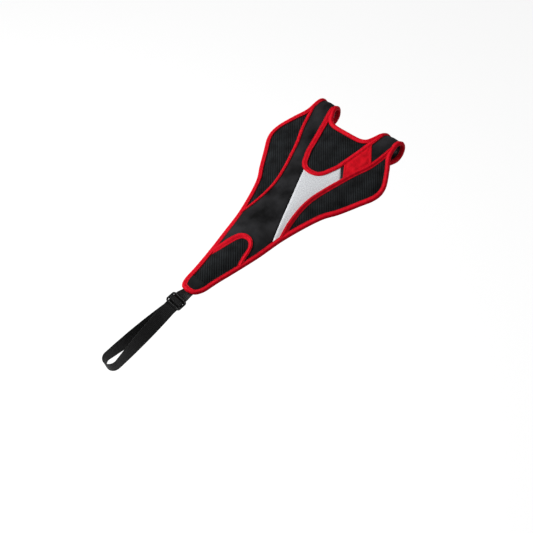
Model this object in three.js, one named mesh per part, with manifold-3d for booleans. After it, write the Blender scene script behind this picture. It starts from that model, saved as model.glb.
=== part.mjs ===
// Bicycle sweat guard: a sewn cloth shield that hangs between the handlebar and the seatpost.
// Millimetres. +X is the rider's right, +Y the riding direction, +Z up.
// The origin is on the handlebar's axis, midway between the two arms of the guard.
// The cloth is drawn as a flat pattern and then draped. A pattern point is [x, t], where t is the distance
// behind the handlebar's axis. Ahead of the bar t goes on as the length of cloth round it.
import * as THREE from 'three';
import { mergeVertices } from 'three/addons/utils/BufferGeometryUtils.js';
import Module from 'manifold-3d';

const wasm = await Module();
wasm.setup();
const { Manifold, Mesh: SolidMesh } = wasm;

// The bicycle that the guard is strapped to
const BAR_DIAMETER = 31.8;
const POST_DIAMETER = 27.2;
const POST_LEAN = THREE.MathUtils.degToRad(16.5);
const POST_DISTANCE = 654;
const POST_DROP = 117.5;

// Cloth and tape thicknesses, with the gap that touching pieces keep
const GAP = 0.3;
const LAYER_GAP = 0.5;
const EDGE_GAP = 0.8;
const LINING_THICKNESS = 0.8;
const PANEL_THICKNESS = 2.4;
const BINDING_THICKNESS = 1;
const BINDING_WIDTH = 10;
const BINDING_BEVEL = 0.8;
const SEAM_WIDTH = 9;
const SEAM_THICKNESS = 1.3;
const SEAM_BEVEL = 0.9;
const LABEL_THICKNESS = 0.7;
const REINFORCEMENT_THICKNESS = 0.5;
const BAR_CLEARANCE = 0.4;

// Drape
const LEAVE_ANGLE = THREE.MathUtils.degToRad(17.5);
const TAIL_DROP = 86;
const WING_DROOP = 15;
const TAIL_DROOP = 3;
const DROOP_START = 85;

// Finished outline
const GUARD_LENGTH = 468.5;
const TAIL_HALF_WIDTH = 23;
const WAIST_HALF_WIDTH = 58;
const WAIST_AT = 265;
const WING_HALF_WIDTH = 140.3;
const WING_AT = 93;
const ARM_OUTER = 103;
const ARM_INNER = 61;
const NECK_AT = 26;
const ARM_CORNER = 12;

// Arms: each goes over the bar, back underneath and fastens to the lining
const BAR_TURN = THREE.MathUtils.degToRad(14);
const ARM_SPAN = 57;
const ARM_JOIN_AT = 60;
const ARM_OVERLAP = 42;
const HOOK_THICKNESS = 1.3;
const LOOP_THICKNESS = 1.5;
const HOOK_HALF_WIDTH = 10;
const LOOP_HALF_WIDTH = 12;
const LOOP_LENGTH = 52;

// Seams of the top panels
const NECK_SEAM_AT = 133.5;
const SIDE_SEAM_WAIST = 41.5;
const TAIL_SEAM_AT = 312.5;
const REINFORCEMENT_LENGTH = 34;
const INSET_UNDERLAP = 3;
const INSET_CORNER = 8;

// Strap and slider
const WEBBING_WIDTH = 25;
const WEBBING_THICKNESS = 1.3;
const SEWN_LENGTH = 36;
const CLEAR_FROM = 30;
const CLEAR_TO = 20;
const SLIDER_AT = 26;
const SLIDER_TWIST = THREE.MathUtils.degToRad(22);
const SLIDER_WIDTH = 34;
const SLIDER_LENGTH = 24;
const SLIDER_THICKNESS = 3.2;
const SLIDER_BAR = 4;
const SLIDER_CENTRE_BAR = 4.5;
const SLIDER_CORNER = 5.5;
const SLIDER_BEVEL = 0.6;
const SLOT_CORNER = 0.4;
const WEBBING_SIDE_GAP = 0.5;
const FOLD_LENGTH = 20;
const FOLD_RADIUS = 1.5;
const POST_CLEARANCE = 0.3;

// How closely the facets follow the cloth, and how far a cut runs past it
const CHORD_ERROR = 0.22;
const LONGEST_ROW = 30;
const NECK_ROW = 0.3;
const NECK_ROWS_REACH = 3;
const BODY_ROW = 0.9;
const BAR_ROW = 2.4;
const CUTTING_MARGIN = 2;
const SPACE_MARGIN = 6;
const FAR = WING_HALF_WIDTH + 80;
const BLOCK_LOW = -GUARD_LENGTH / 2;
const BLOCK_HIGH = GUARD_LENGTH / 3;

const HEIGHT = {
  liningTop: LINING_THICKNESS,
  panelLow: LINING_THICKNESS + LAYER_GAP,
  panelTop: LINING_THICKNESS + LAYER_GAP + PANEL_THICKNESS,
};
HEIGHT.trimLow = HEIGHT.panelTop + LAYER_GAP;
const WRAP_RADIUS = BAR_DIAMETER / 2 + BAR_CLEARANCE + BINDING_THICKNESS + LAYER_GAP;
const FASTENER_STACK = 2 * LAYER_GAP + GAP + HOOK_THICKNESS + LOOP_THICKNESS;
const CLOTH_INSET = BINDING_THICKNESS + EDGE_GAP;

// Pattern lines, right-hand side, each from the tail or the middle outwards
const OUTLINE = [
  [0, GUARD_LENGTH],
  [TAIL_HALF_WIDTH - 8, GUARD_LENGTH - 4.5],
  [TAIL_HALF_WIDTH, GUARD_LENGTH - 17.5],
  [TAIL_HALF_WIDTH + 6.5, GUARD_LENGTH - 56.5],
  [WAIST_HALF_WIDTH - 12, WAIST_AT + 68],
  [WAIST_HALF_WIDTH, WAIST_AT],
  [WAIST_HALF_WIDTH + 25.5, WAIST_AT - 70],
  [WAIST_HALF_WIDTH + 43.5, WAIST_AT - 97],
  [WING_HALF_WIDTH - 18, WING_AT + 40],
  [WING_HALF_WIDTH - 4, WING_AT + 16],
  [WING_HALF_WIDTH, WING_AT],
  [WING_HALF_WIDTH - 3, WING_AT - 19],
  [ARM_OUTER + 18.5, WING_AT - 47],
  [ARM_OUTER + 4, 24],
  [ARM_OUTER, 2],
];
const NECK_LINE = [
  [0, NECK_AT],
  [ARM_INNER - 38, NECK_AT - 0.3],
  [ARM_INNER - 27, NECK_AT - 1.6],
  [ARM_INNER - 18, NECK_AT - 6],
  [ARM_INNER - 10.5, NECK_AT - 17],
  [ARM_INNER - 3.5, NECK_AT - 33],
  [ARM_INNER, NECK_AT - 52],
];
const SIDE_SEAM = [
  [ARM_OUTER + 3.5, -4],
  [ARM_OUTER - 3.5, 15],
  [ARM_OUTER - 7.5, 30],
  [ARM_OUTER - 16.5, 60],
  [SIDE_SEAM_WAIST + 31, WING_AT - 3],
  [SIDE_SEAM_WAIST + 19.5, 120],
  [SIDE_SEAM_WAIST + 9, 150],
  [SIDE_SEAM_WAIST + 1.5, 180],
  [SIDE_SEAM_WAIST, 208],
  [SIDE_SEAM_WAIST + 3.5, WAIST_AT - 25],
  [WAIST_HALF_WIDTH - 8, WAIST_AT - 3],
  [WAIST_HALF_WIDTH - 2, WAIST_AT + 20],
  [WAIST_HALF_WIDTH + 3, WAIST_AT + 40],
];
const NECK_SEAM = [
  [0, NECK_SEAM_AT],
  [13, NECK_SEAM_AT - 2.5],
  [22.5, NECK_SEAM_AT - 10],
  [29.3, NECK_SEAM_AT - 22.5],
  [36, NECK_SEAM_AT - 36.5],
  [41, NECK_SEAM_AT - 54.5],
  [46, NECK_SEAM_AT - 72.5],
  [ARM_INNER - 10.5, NECK_AT + 18],
  [ARM_INNER - 7, NECK_AT + 4],
  [ARM_INNER - 2.5, NECK_AT - 11],
  [ARM_INNER + 1, NECK_AT - 28],
];
const INSET_LEFT = [[-16.1, NECK_SEAM_AT - 4], [WAIST_HALF_WIDTH - 7, WAIST_AT + 39]];
const INSET_END = [[34, NECK_SEAM_AT - 49.5], [67, NECK_SEAM_AT - 9.5]];
const LABEL_END = [[41, NECK_SEAM_AT - 51.5], [63.6, NECK_SEAM_AT - 20.5]];
const LABEL_START = [[ARM_INNER - 5.5, NECK_AT - 7], [ARM_OUTER - 16.7, NECK_AT + 31]];

// The tail seam runs from the left to the right, and isn't the same on both sides
const TAIL_SEAM = [
  [-43, TAIL_SEAM_AT + 83],
  [-34, TAIL_SEAM_AT + 68],
  [-26.8, TAIL_SEAM_AT + 52.5],
  [-21.3, TAIL_SEAM_AT + 37],
  [-17.3, TAIL_SEAM_AT + 23.5],
  [-13.5, TAIL_SEAM_AT + 13],
  [-7.5, TAIL_SEAM_AT + 3.8],
  [0, TAIL_SEAM_AT],
  [12, TAIL_SEAM_AT + 0.6],
  [21, TAIL_SEAM_AT + 8.3],
  [26, TAIL_SEAM_AT + 20.3],
  [29, TAIL_SEAM_AT + 35.1],
  [33.5, TAIL_SEAM_AT + 50.8],
  [38.5, TAIL_SEAM_AT + 66.6],
  [44, TAIL_SEAM_AT + 82.5],
];

// Smooth lines in the pattern
function smoothLine(points, step = 3) {
  const corners = points.map(([x, t]) => new THREE.Vector3(x, t, 0));
  const curve = new THREE.CatmullRomCurve3(corners, false, 'centripetal');
  const count = Math.ceil(curve.getLength() / step);
  return curve.getSpacedPoints(count).map((p) => [p.x, p.y]);
}

function mirrored(line) {
  return line.map(([x, t]) => [-x, t]);
}

function throughMiddle(line) {
  return [...mirrored(line).reverse(), ...line.slice(1)];
}

function lineNormals(line, closed = false) {
  const last = line.length - 1;
  return line.map((point, i) => {
    const before = line[closed ? (i + last) % line.length : Math.max(i - 1, 0)];
    const after = line[closed ? (i + 1) % line.length : Math.min(i + 1, last)];
    const [dx, dt] = [after[0] - before[0], after[1] - before[1]];
    const size = Math.hypot(dx, dt);
    return [-dt / size, dx / size];
  });
}

function offsetLine(line, distance, closed = false) {
  const normals = lineNormals(line, closed);
  return line.map(([x, t], i) => [x + normals[i][0] * distance, t + normals[i][1] * distance]);
}

function interpolate(pairs, at) {
  const after = pairs.findIndex(([key]) => key >= at);
  if (after <= 0) return after === 0 ? pairs[0][1] : pairs[pairs.length - 1][1];
  const [[k0, v0], [k1, v1]] = [pairs[after - 1], pairs[after]];
  return THREE.MathUtils.mapLinear(at, k0, k1, v0, v1);
}

function widthTable(line) {
  return line.map(([x, t]) => [t, x]).sort((a, b) => a[0] - b[0]);
}

// Draped surface
const TANGENT_AT = WRAP_RADIUS * Math.sin(LEAVE_ANGLE);
const LEAVE_HEIGHT = WRAP_RADIUS * Math.cos(LEAVE_ANGLE);
const LEAVE_SLOPE = Math.tan(LEAVE_ANGLE);
const BAR_END = TANGENT_AT - WRAP_RADIUS * (LEAVE_ANGLE + Math.PI + BAR_TURN);
const ARM_TIP = BAR_END - ARM_SPAN - ARM_OVERLAP;
const RUN = GUARD_LENGTH - TANGENT_AT;
const SAG = (LEAVE_SLOPE * RUN - TAIL_DROP - LEAVE_HEIGHT) / RUN ** 2;
const OUTER_EDGE = smoothLine(OUTLINE);
const HALF_WIDTHS = widthTable(OUTER_EDGE);

function ridgeHeight(t) {
  const run = t - TANGENT_AT;
  return LEAVE_HEIGHT - LEAVE_SLOPE * run + SAG * run ** 2;
}

function spreadAt(t) {
  const reach = 15;
  const widthAt = (at) => interpolate(HALF_WIDTHS, Math.min(at, GUARD_LENGTH - reach));
  const near = [t - reach, t, t + reach].map(widthAt);
  return (near[0] + near[1] + near[2]) / 3;
}

function edgeDroop(t) {
  const start = THREE.MathUtils.smoothstep(t - TANGENT_AT, 0, DROOP_START);
  const along = Math.max(t / GUARD_LENGTH, 0) ** 3;
  return start * THREE.MathUtils.lerp(WING_DROOP, TAIL_DROOP, along);
}

function bodyHeight(x, t) {
  return ridgeHeight(t) - edgeDroop(t) * (x / spreadAt(t)) ** 2;
}

function onBar(t) {
  const angle = LEAVE_ANGLE - (TANGENT_AT - t) / WRAP_RADIUS;
  return [-WRAP_RADIUS * Math.sin(angle), WRAP_RADIUS * Math.cos(angle)];
}

// Height of the returning arm, which lies against the fastener under the lining
function underHeight(x, t) {
  return bodyHeight(x, t) - FASTENER_STACK / Math.cos(LEAVE_ANGLE);
}

function returningArm(x, t) {
  const length = BAR_END - t;
  if (length >= ARM_SPAN) {
    const under = ARM_JOIN_AT + length - ARM_SPAN;
    return [-under, underHeight(x, under)];
  }
  const [y0, z0] = onBar(BAR_END);
  const z1 = underHeight(x, ARM_JOIN_AT);
  const slope1 = underHeight(x, ARM_JOIN_AT + 1) - z1;
  const s = length / ARM_SPAN;
  const [a, b] = [2 * s ** 3 - 3 * s ** 2 + 1, s ** 3 - 2 * s ** 2 + s];
  const [c, d] = [3 * s ** 2 - 2 * s ** 3, s ** 3 - s ** 2];
  const y = a * y0 - b * ARM_SPAN * Math.cos(BAR_TURN) - c * ARM_JOIN_AT - d * ARM_SPAN;
  const z = a * z0 + b * ARM_SPAN * Math.sin(BAR_TURN) + c * z1 + d * ARM_SPAN * slope1;
  return [y, z];
}

function surfacePoint(x, t) {
  if (t >= TANGENT_AT) return new THREE.Vector3(x, -t, bodyHeight(x, t));
  const [y, z] = t >= BAR_END ? onBar(t) : returningArm(x, t);
  return new THREE.Vector3(x, y, z);
}

function surfaceNormal(x, t) {
  const step = 0.5;
  const across = surfacePoint(x + step, t).sub(surfacePoint(x - step, t));
  const ahead = surfacePoint(x, t - step).sub(surfacePoint(x, t + step));
  return across.cross(ahead).normalize();
}

function place(x, t, height) {
  return surfacePoint(x, t).addScaledVector(surfaceNormal(x, t), height);
}

// Keeps only the points that a draped line needs
function thinned(line, tolerance) {
  const draped = line.map(([x, t]) => surfacePoint(x, t));
  const kept = [0];
  for (let from = 0; from < line.length - 1;) {
    let to = from + 1;
    while (to + 1 < line.length && chordError(draped, from, to + 1) < tolerance) to += 1;
    kept.push(to);
    from = to;
  }
  return kept.map((i) => line[i]);
}

function chordError(points, from, to) {
  const chord = new THREE.Line3(points[from], points[to]);
  const foot = new THREE.Vector3();
  const errors = points.slice(from + 1, to).map((p) => chord.closestPointToPoint(p, true, foot).distanceTo(p));
  return Math.max(...errors);
}

// Solids
function closedGeometry(triangles) {
  let volume = 0;
  for (const [a, b, c] of triangles) volume += a.dot(b.clone().cross(c)) / 6;
  const outward = volume > 0 ? triangles : triangles.map(([a, b, c]) => [a, c, b]);
  const geometry = new THREE.BufferGeometry().setFromPoints(outward.flat());
  return mergeVertices(geometry, 1e-4);
}

function toSolid(geometry) {
  const source = geometry.clone();
  source.deleteAttribute('normal');
  source.deleteAttribute('uv');
  const merged = mergeVertices(source, 1e-4);
  return new Manifold(new SolidMesh({
    numProp: 3,
    vertProperties: new Float32Array(merged.attributes.position.array),
    triVerts: new Uint32Array(merged.index.array),
  }));
}

function toGeometry(solid) {
  const mesh = solid.getMesh();
  const geometry = new THREE.BufferGeometry();
  geometry.setAttribute('position', new THREE.BufferAttribute(mesh.vertProperties, 3));
  geometry.setIndex(new THREE.BufferAttribute(mesh.triVerts, 1));
  return geometry;
}

// Joins rings of points, each the same section at the next station
function sweep(rings, closed = false) {
  const triangles = [];
  const stations = closed ? rings.length : rings.length - 1;
  for (let i = 0; i < stations; i += 1) {
    const [here, next] = [rings[i], rings[(i + 1) % rings.length]];
    here.forEach((p, k) => {
      const k1 = (k + 1) % here.length;
      triangles.push([p, here[k1], next[k1]], [p, next[k1], next[k]]);
    });
  }
  if (!closed) triangles.push(...sweepEnd(rings[0], true), ...sweepEnd(rings[rings.length - 1], false));
  return closedGeometry(triangles);
}

function sweepEnd(ring, reversed) {
  return ring.slice(2).map((p, i) => (reversed ? [ring[0], p, ring[i + 1]] : [ring[0], ring[i + 1], p]));
}

// A layer of cloth with the same pattern on both sides of the middle
function clothLayer(rows, inner, outer, low, high) {
  const columns = 4;
  const triangles = [];
  const quad = (a, b, c, d) => triangles.push([a, b, c], [a, c, d]);
  for (const side of [1, -1]) {
    const grid = rows.map((t) => Array.from({ length: columns + 1 }, (_, j) => {
      const x = side * THREE.MathUtils.lerp(inner(t), outer(t), j / columns);
      return { low: place(x, t, low), high: place(x, t, high) };
    }));
    const facing = (a, b, c, d) => (side > 0 ? quad(a, b, c, d) : quad(d, c, b, a));
    for (let i = 0; i + 1 < rows.length; i += 1) {
      const [here, next] = [grid[i], grid[i + 1]];
      for (let j = 0; j < columns; j += 1) {
        facing(here[j].high, here[j + 1].high, next[j + 1].high, next[j].high);
        facing(here[j].low, next[j].low, next[j + 1].low, here[j + 1].low);
      }
      facing(here[columns].high, here[columns].low, next[columns].low, next[columns].high);
      if (inner(rows[i]) + inner(rows[i + 1]) > 0) facing(here[0].low, here[0].high, next[0].high, next[0].low);
    }
    for (const [end, flip] of [[grid[0], false], [grid[rows.length - 1], true]]) {
      for (let j = 0; j < columns; j += 1) {
        const corners = [end[j].low, end[j + 1].low, end[j + 1].high, end[j].high];
        facing(...(flip ? corners.reverse() : corners));
      }
    }
  }
  return closedGeometry(triangles);
}

// An upright block over a closed shape of the pattern
function patternBlock(line) {
  const shape = new THREE.Shape(line.map(([x, t]) => new THREE.Vector2(x, -t)));
  const block = new THREE.ExtrudeGeometry(shape, { depth: BLOCK_HIGH - BLOCK_LOW, bevelEnabled: false });
  block.translate(0, 0, BLOCK_LOW);
  return toSolid(block);
}

// Outline of the whole guard, with its arms
function armTip() {
  const corner = (cx, from) => [0, 1, 2, 3, 4].map((i) => {
    const angle = from + (i * Math.PI) / 8;
    return [cx + ARM_CORNER * Math.cos(angle), ARM_TIP + ARM_CORNER - ARM_CORNER * Math.sin(angle)];
  });
  return [...corner(ARM_OUTER - ARM_CORNER, 0), ...corner(ARM_INNER + ARM_CORNER, Math.PI / 2)];
}

function straightLine([x0, t0], [x1, t1], step = 2) {
  const count = Math.ceil(Math.hypot(x1 - x0, t1 - t0) / step);
  return Array.from({ length: count - 1 }, (_, i) => {
    const s = (i + 1) / count;
    return [THREE.MathUtils.lerp(x0, x1, s), THREE.MathUtils.lerp(t0, t1, s)];
  });
}

function rightOutline() {
  const tip = armTip();
  const neck = smoothLine(NECK_LINE).reverse();
  return [
    ...OUTER_EDGE, ...straightLine(OUTER_EDGE.at(-1), tip[0]), ...tip,
    ...straightLine(tip.at(-1), neck[0]), ...neck,
  ];
}

const WHOLE_OUTLINE = [...rightOutline(), ...mirrored(rightOutline()).reverse().slice(1, -1)];

// The cloth stops short of the finished outline, inside the binding
function clothPattern() {
  const inset = offsetLine(rightOutline(), -CLOTH_INSET);
  inset[0] = [0, GUARD_LENGTH - CLOTH_INSET];
  inset[inset.length - 1] = [0, NECK_AT + CLOTH_INSET];
  const tipAt = inset.reduce((best, point, i) => (point[1] < inset[best][1] ? i : best), 0);
  const tipMiddle = (ARM_OUTER + ARM_INNER) / 2;
  const outerLine = inset.filter(([x], i) => i < tipAt + 8 && (i < tipAt - 8 || x > tipMiddle));
  const innerLine = inset.filter(([x], i) => i > tipAt - 8 && (i > tipAt + 8 || x < tipMiddle));
  return { outerLine, innerLine };
}

function shortestRow(t) {
  const fromNeck = NECK_AT + CLOTH_INSET - t;
  if (fromNeck > -NECK_ROW && fromNeck < NECK_ROWS_REACH) return NECK_ROW;
  return t > TANGENT_AT ? BODY_ROW : BAR_ROW;
}

function clothRows(outerLine, innerLine) {
  const neck = innerLine.filter(([x]) => x < ARM_INNER);
  const stations = [...thinned(outerLine, CHORD_ERROR), ...thinned(neck, CHORD_ERROR / 2)].map(([, t]) => t);
  const rows = [];
  for (const t of stations.sort((a, b) => b - a)) {
    const step = rows.length ? rows.at(-1) - t : 0;
    if (step > LONGEST_ROW) rows.push(t + step / 2);
    if (!rows.length || step > shortestRow(t)) rows.push(t);
  }
  return rows;
}

const { outerLine, innerLine } = clothPattern();
const CLOTH_OUTER = widthTable(outerLine);
const CLOTH_INNER = widthTable(innerLine);
const CLOTH_ROWS = clothRows(outerLine, innerLine);
const clothOuter = (t) => interpolate(CLOTH_OUTER, t);
const clothInner = (t) => (t >= NECK_AT + CLOTH_INSET ? 0 : interpolate(CLOTH_INNER, t));

function wholeLayer(low, high) {
  return clothLayer(CLOTH_ROWS, clothInner, clothOuter, low, high);
}

// The space that the top panels lie in, behind the bar only, a little larger than the cloth
function cuttingSpace(low, high) {
  const rows = [GUARD_LENGTH + SPACE_MARGIN, ...CLOTH_ROWS.filter((t) => t > TANGENT_AT + 0.5), TANGENT_AT];
  const wide = (t) => Math.max(interpolate(HALF_WIDTHS, t), TAIL_HALF_WIDTH) + SPACE_MARGIN;
  return toSolid(clothLayer(rows, () => 0, wide, low, high));
}

// Edge binding
function bindingSection() {
  const [under, over] = [-LAYER_GAP, HEIGHT.trimLow];
  const [bottom, top] = [under - BINDING_THICKNESS, over + BINDING_THICKNESS];
  return [
    [-BINDING_WIDTH, over], [-BINDING_THICKNESS, over], [-BINDING_THICKNESS, under], [-BINDING_WIDTH, under],
    [-BINDING_WIDTH, bottom], [0, bottom],
    [0, top - BINDING_BEVEL], [-BINDING_BEVEL, top], [-BINDING_WIDTH, top],
  ];
}

function alongLine(line, section, closed) {
  const normals = lineNormals(line, closed);
  return line.map(([x, t], i) => section.map(([out, height]) => (
    place(x + normals[i][0] * out, t + normals[i][1] * out, height)
  )));
}

function thinnedOutline() {
  const [start] = WHOLE_OUTLINE;
  return thinned([...WHOLE_OUTLINE, start], CHORD_ERROR).slice(0, -1);
}

function edgeBinding() {
  return sweep(alongLine(thinnedOutline(), bindingSection(), true), true);
}

// The space that the binding's upper side takes, with its gap, for cutting what runs into it
function bindingSpace() {
  const reach = -BINDING_WIDTH - LAYER_GAP;
  const [low, high] = [HEIGHT.panelTop + 0.1, HEIGHT.trimLow + 4];
  const section = [[reach, low], [0, low], [0, high], [reach, high]];
  return toSolid(sweep(alongLine(thinnedOutline(), section, true), true));
}

// Flat tape over a seam
function tapeSection(grow = 0) {
  const half = SEAM_WIDTH / 2 + grow;
  const [low, top] = [HEIGHT.trimLow - grow, HEIGHT.trimLow + SEAM_THICKNESS + grow];
  return [
    [-half, low], [half, low], [half, top - SEAM_BEVEL], [half - SEAM_BEVEL, top],
    [-half + SEAM_BEVEL, top], [-half, top - SEAM_BEVEL],
  ];
}

// A tape's ends are caught under the binding
function betweenBindings(line) {
  const distance = ([x, t]) => Math.min(...WHOLE_OUTLINE.map(([x1, t1]) => Math.hypot(x - x1, t - t1)));
  const caught = line.map((point) => distance(point) < BINDING_WIDTH / 2);
  const middle = Math.floor(line.length / 2);
  return line.slice(caught.lastIndexOf(true, middle) + 1, caught.indexOf(true, middle));
}

function seamTape(line, grow = 0) {
  return toSolid(sweep(alongLine(thinned(betweenBindings(line), CHORD_ERROR), tapeSection(grow), false)));
}

// Webbing strap: frames hold a point, the direction across the webbing and its face normal
const X_AXIS = new THREE.Vector3(1, 0, 0);
const POST_AXIS = new THREE.Vector3(0, -Math.sin(POST_LEAN), Math.cos(POST_LEAN));
const POST_BACK = new THREE.Vector3(0, -Math.cos(POST_LEAN), -Math.sin(POST_LEAN));
const POST_CENTRE = new THREE.Vector3(0, -POST_DISTANCE, -POST_DROP);
const WEBBING_PITCH = WEBBING_THICKNESS + GAP;
const RUNNING_UNDER = -(SLIDER_THICKNESS / 2 + GAP + WEBBING_THICKNESS / 2);
const STRAP_START_HEIGHT = -(LAYER_GAP + BINDING_THICKNESS + GAP + WEBBING_THICKNESS / 2);
const STRAP_EXIT = placeFlat(GUARD_LENGTH, STRAP_START_HEIGHT);
const STRAP_DIRECTION = POST_CENTRE.clone().sub(STRAP_EXIT).normalize();
const STRAP_UP = new THREE.Vector3(0, STRAP_DIRECTION.z, -STRAP_DIRECTION.y);
const AXIS_START = STRAP_EXIT.clone().addScaledVector(STRAP_UP, -RUNNING_UNDER);

// The middle of webbing that lies flat under the cloth, clear of the cloth's droop at its edges
function placeFlat(t, height) {
  const droop = edgeDroop(t) * (WEBBING_WIDTH / 2 / spreadAt(t)) ** 2;
  return place(0, t, height - droop);
}

function twistedFrame(twist, up = STRAP_UP) {
  return {
    across: X_AXIS.clone().multiplyScalar(Math.cos(twist)).addScaledVector(up, -Math.sin(twist)),
    face: X_AXIS.clone().multiplyScalar(Math.sin(twist)).addScaledVector(up, Math.cos(twist)),
  };
}

function sliderPoint(along, height) {
  return AXIS_START.clone()
    .addScaledVector(STRAP_DIRECTION, SLIDER_AT + along)
    .addScaledVector(twistedFrame(SLIDER_TWIST).face, height);
}

function roundedPath(points, radius) {
  const path = new THREE.Path();
  points.forEach(([x, y], i) => {
    if (i === 0) {
      path.moveTo(x, y);
      return;
    }
    if (i === points.length - 1) {
      path.lineTo(x, y);
      return;
    }
    const here = new THREE.Vector2(x, y);
    const towards = (point) => here.clone().add(new THREE.Vector2(...point).sub(here).setLength(radius));
    const [start, end] = [towards(points[i - 1]), towards(points[i + 1])];
    path.lineTo(start.x, start.y);
    path.quadraticCurveTo(x, y, end.x, end.y);
  });
  return path.getPoints(4);
}

// Webbing through the slider, as [along, height] in the slider's own plane
function runningProfile() {
  const slot = SLIDER_CENTRE_BAR / 2 + GAP + WEBBING_THICKNESS / 2 + WEBBING_PITCH;
  const over = -RUNNING_UNDER + WEBBING_PITCH;
  const end = SLIDER_LENGTH / 2 + 2;
  return roundedPath([
    [-end, RUNNING_UNDER], [-slot, RUNNING_UNDER], [-slot, over], [slot, over], [slot, RUNNING_UNDER],
    [end, RUNNING_UNDER],
  ], FOLD_RADIUS);
}

function sewnProfile() {
  const slot = SLIDER_CENTRE_BAR / 2 + GAP + WEBBING_THICKNESS / 2;
  const fold = RUNNING_UNDER - WEBBING_PITCH;
  const bottom = fold - WEBBING_PITCH;
  return roundedPath([
    [SLIDER_LENGTH / 2 + 2, bottom], [-slot, bottom], [-slot, -RUNNING_UNDER], [slot, -RUNNING_UNDER],
    [slot, fold], [slot + FOLD_LENGTH, fold],
  ], FOLD_RADIUS);
}

function sliderFrames(profile) {
  const { across } = twistedFrame(SLIDER_TWIST);
  return profile.map((p) => ({ point: sliderPoint(p.x, p.y), across }));
}

function sewnFrames() {
  const steps = 6;
  return Array.from({ length: steps }, (_, i) => {
    const t = GUARD_LENGTH - SEWN_LENGTH + (i * SEWN_LENGTH) / steps;
    const clear = THREE.MathUtils.smoothstep(t, GUARD_LENGTH - CLEAR_FROM, GUARD_LENGTH - CLEAR_TO);
    const height = THREE.MathUtils.lerp(-GAP - WEBBING_THICKNESS / 2, STRAP_START_HEIGHT, clear);
    return { point: placeFlat(t, height), across: X_AXIS.clone() };
  });
}

// A straight branch from the slider to the side of the post, turning until it stands along the post
function branchFrames(from, side) {
  const steps = 14;
  const radius = POST_DIAMETER / 2 + POST_CLEARANCE + WEBBING_THICKNESS / 2;
  const to = POST_CENTRE.clone().addScaledVector(X_AXIS, side * radius);
  return Array.from({ length: steps - 1 }, (_, i) => {
    const s = (i + 1) / steps;
    const up = STRAP_UP.clone().lerp(POST_AXIS, s).normalize();
    const twist = THREE.MathUtils.lerp(SLIDER_TWIST, Math.PI / 2, s);
    return { point: from.clone().lerp(to, s), across: twistedFrame(twist, up).across };
  });
}

function postFrames() {
  const steps = 14;
  const radius = POST_DIAMETER / 2 + POST_CLEARANCE + WEBBING_THICKNESS / 2;
  return Array.from({ length: steps + 1 }, (_, i) => {
    const angle = (i * Math.PI) / steps;
    const point = POST_CENTRE.clone()
      .addScaledVector(X_AXIS, radius * Math.cos(angle))
      .addScaledVector(POST_BACK, radius * Math.sin(angle));
    return { point, across: POST_AXIS.clone().negate() };
  });
}

function strapFrames() {
  const running = sliderFrames(runningProfile());
  const sewn = sliderFrames(sewnProfile());
  const exit = { point: STRAP_EXIT, across: X_AXIS.clone() };
  return [
    ...sewnFrames(), exit, ...running,
    ...branchFrames(running.at(-1).point, 1), ...postFrames(),
    ...branchFrames(sewn[0].point, -1).reverse(), ...sewn,
  ];
}

function ribbonRings(frames, width, thickness) {
  return frames.map(({ point, across }, i) => {
    const before = frames[Math.max(i - 1, 0)].point;
    const after = frames[Math.min(i + 1, frames.length - 1)].point;
    const along = after.clone().sub(before).normalize();
    const side = across.clone().addScaledVector(along, -across.dot(along)).normalize();
    const face = side.clone().cross(along).negate();
    const corners = [[-1, -1], [1, -1], [1, 1], [-1, 1]];
    return corners.map(([a, b]) => point.clone()
      .addScaledVector(side, (a * width) / 2)
      .addScaledVector(face, (b * thickness) / 2));
  });
}

function webbing() {
  return sweep(ribbonRings(strapFrames(), WEBBING_WIDTH, WEBBING_THICKNESS));
}

// Slider with two slots and a centre bar, lying in its own plane
function roundedRectangle(target, x0, y0, x1, y1, r) {
  target.moveTo(x0 + r, y0);
  target.lineTo(x1 - r, y0);
  target.absarc(x1 - r, y0 + r, r, -Math.PI / 2, 0, false);
  target.lineTo(x1, y1 - r);
  target.absarc(x1 - r, y1 - r, r, 0, Math.PI / 2, false);
  target.lineTo(x0 + r, y1);
  target.absarc(x0 + r, y1 - r, r, Math.PI / 2, Math.PI, false);
  target.lineTo(x0, y0 + r);
  target.absarc(x0 + r, y0 + r, r, Math.PI, Math.PI * 1.5, false);
  return target;
}

function sliderGeometry() {
  const bevel = SLIDER_BEVEL;
  const [halfWidth, halfLength] = [SLIDER_WIDTH / 2 - bevel, SLIDER_LENGTH / 2 - bevel];
  const slotHalf = WEBBING_WIDTH / 2 + WEBBING_SIDE_GAP + bevel;
  const [near, far] = [SLIDER_CENTRE_BAR / 2 - bevel, SLIDER_LENGTH / 2 - SLIDER_BAR + bevel];
  const [x1, y1] = [halfWidth, halfLength];
  const shape = roundedRectangle(new THREE.Shape(), -x1, -y1, x1, y1, SLIDER_CORNER);
  shape.holes.push(roundedRectangle(new THREE.Path(), -slotHalf, near, slotHalf, far, SLOT_CORNER));
  shape.holes.push(roundedRectangle(new THREE.Path(), -slotHalf, -far, slotHalf, -near, SLOT_CORNER));
  const geometry = new THREE.ExtrudeGeometry(shape, {
    depth: SLIDER_THICKNESS - 2 * bevel,
    bevelThickness: bevel,
    bevelSize: bevel,
    bevelSegments: 1,
    curveSegments: 4,
  });
  return geometry.translate(0, 0, bevel - SLIDER_THICKNESS / 2);
}

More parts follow.
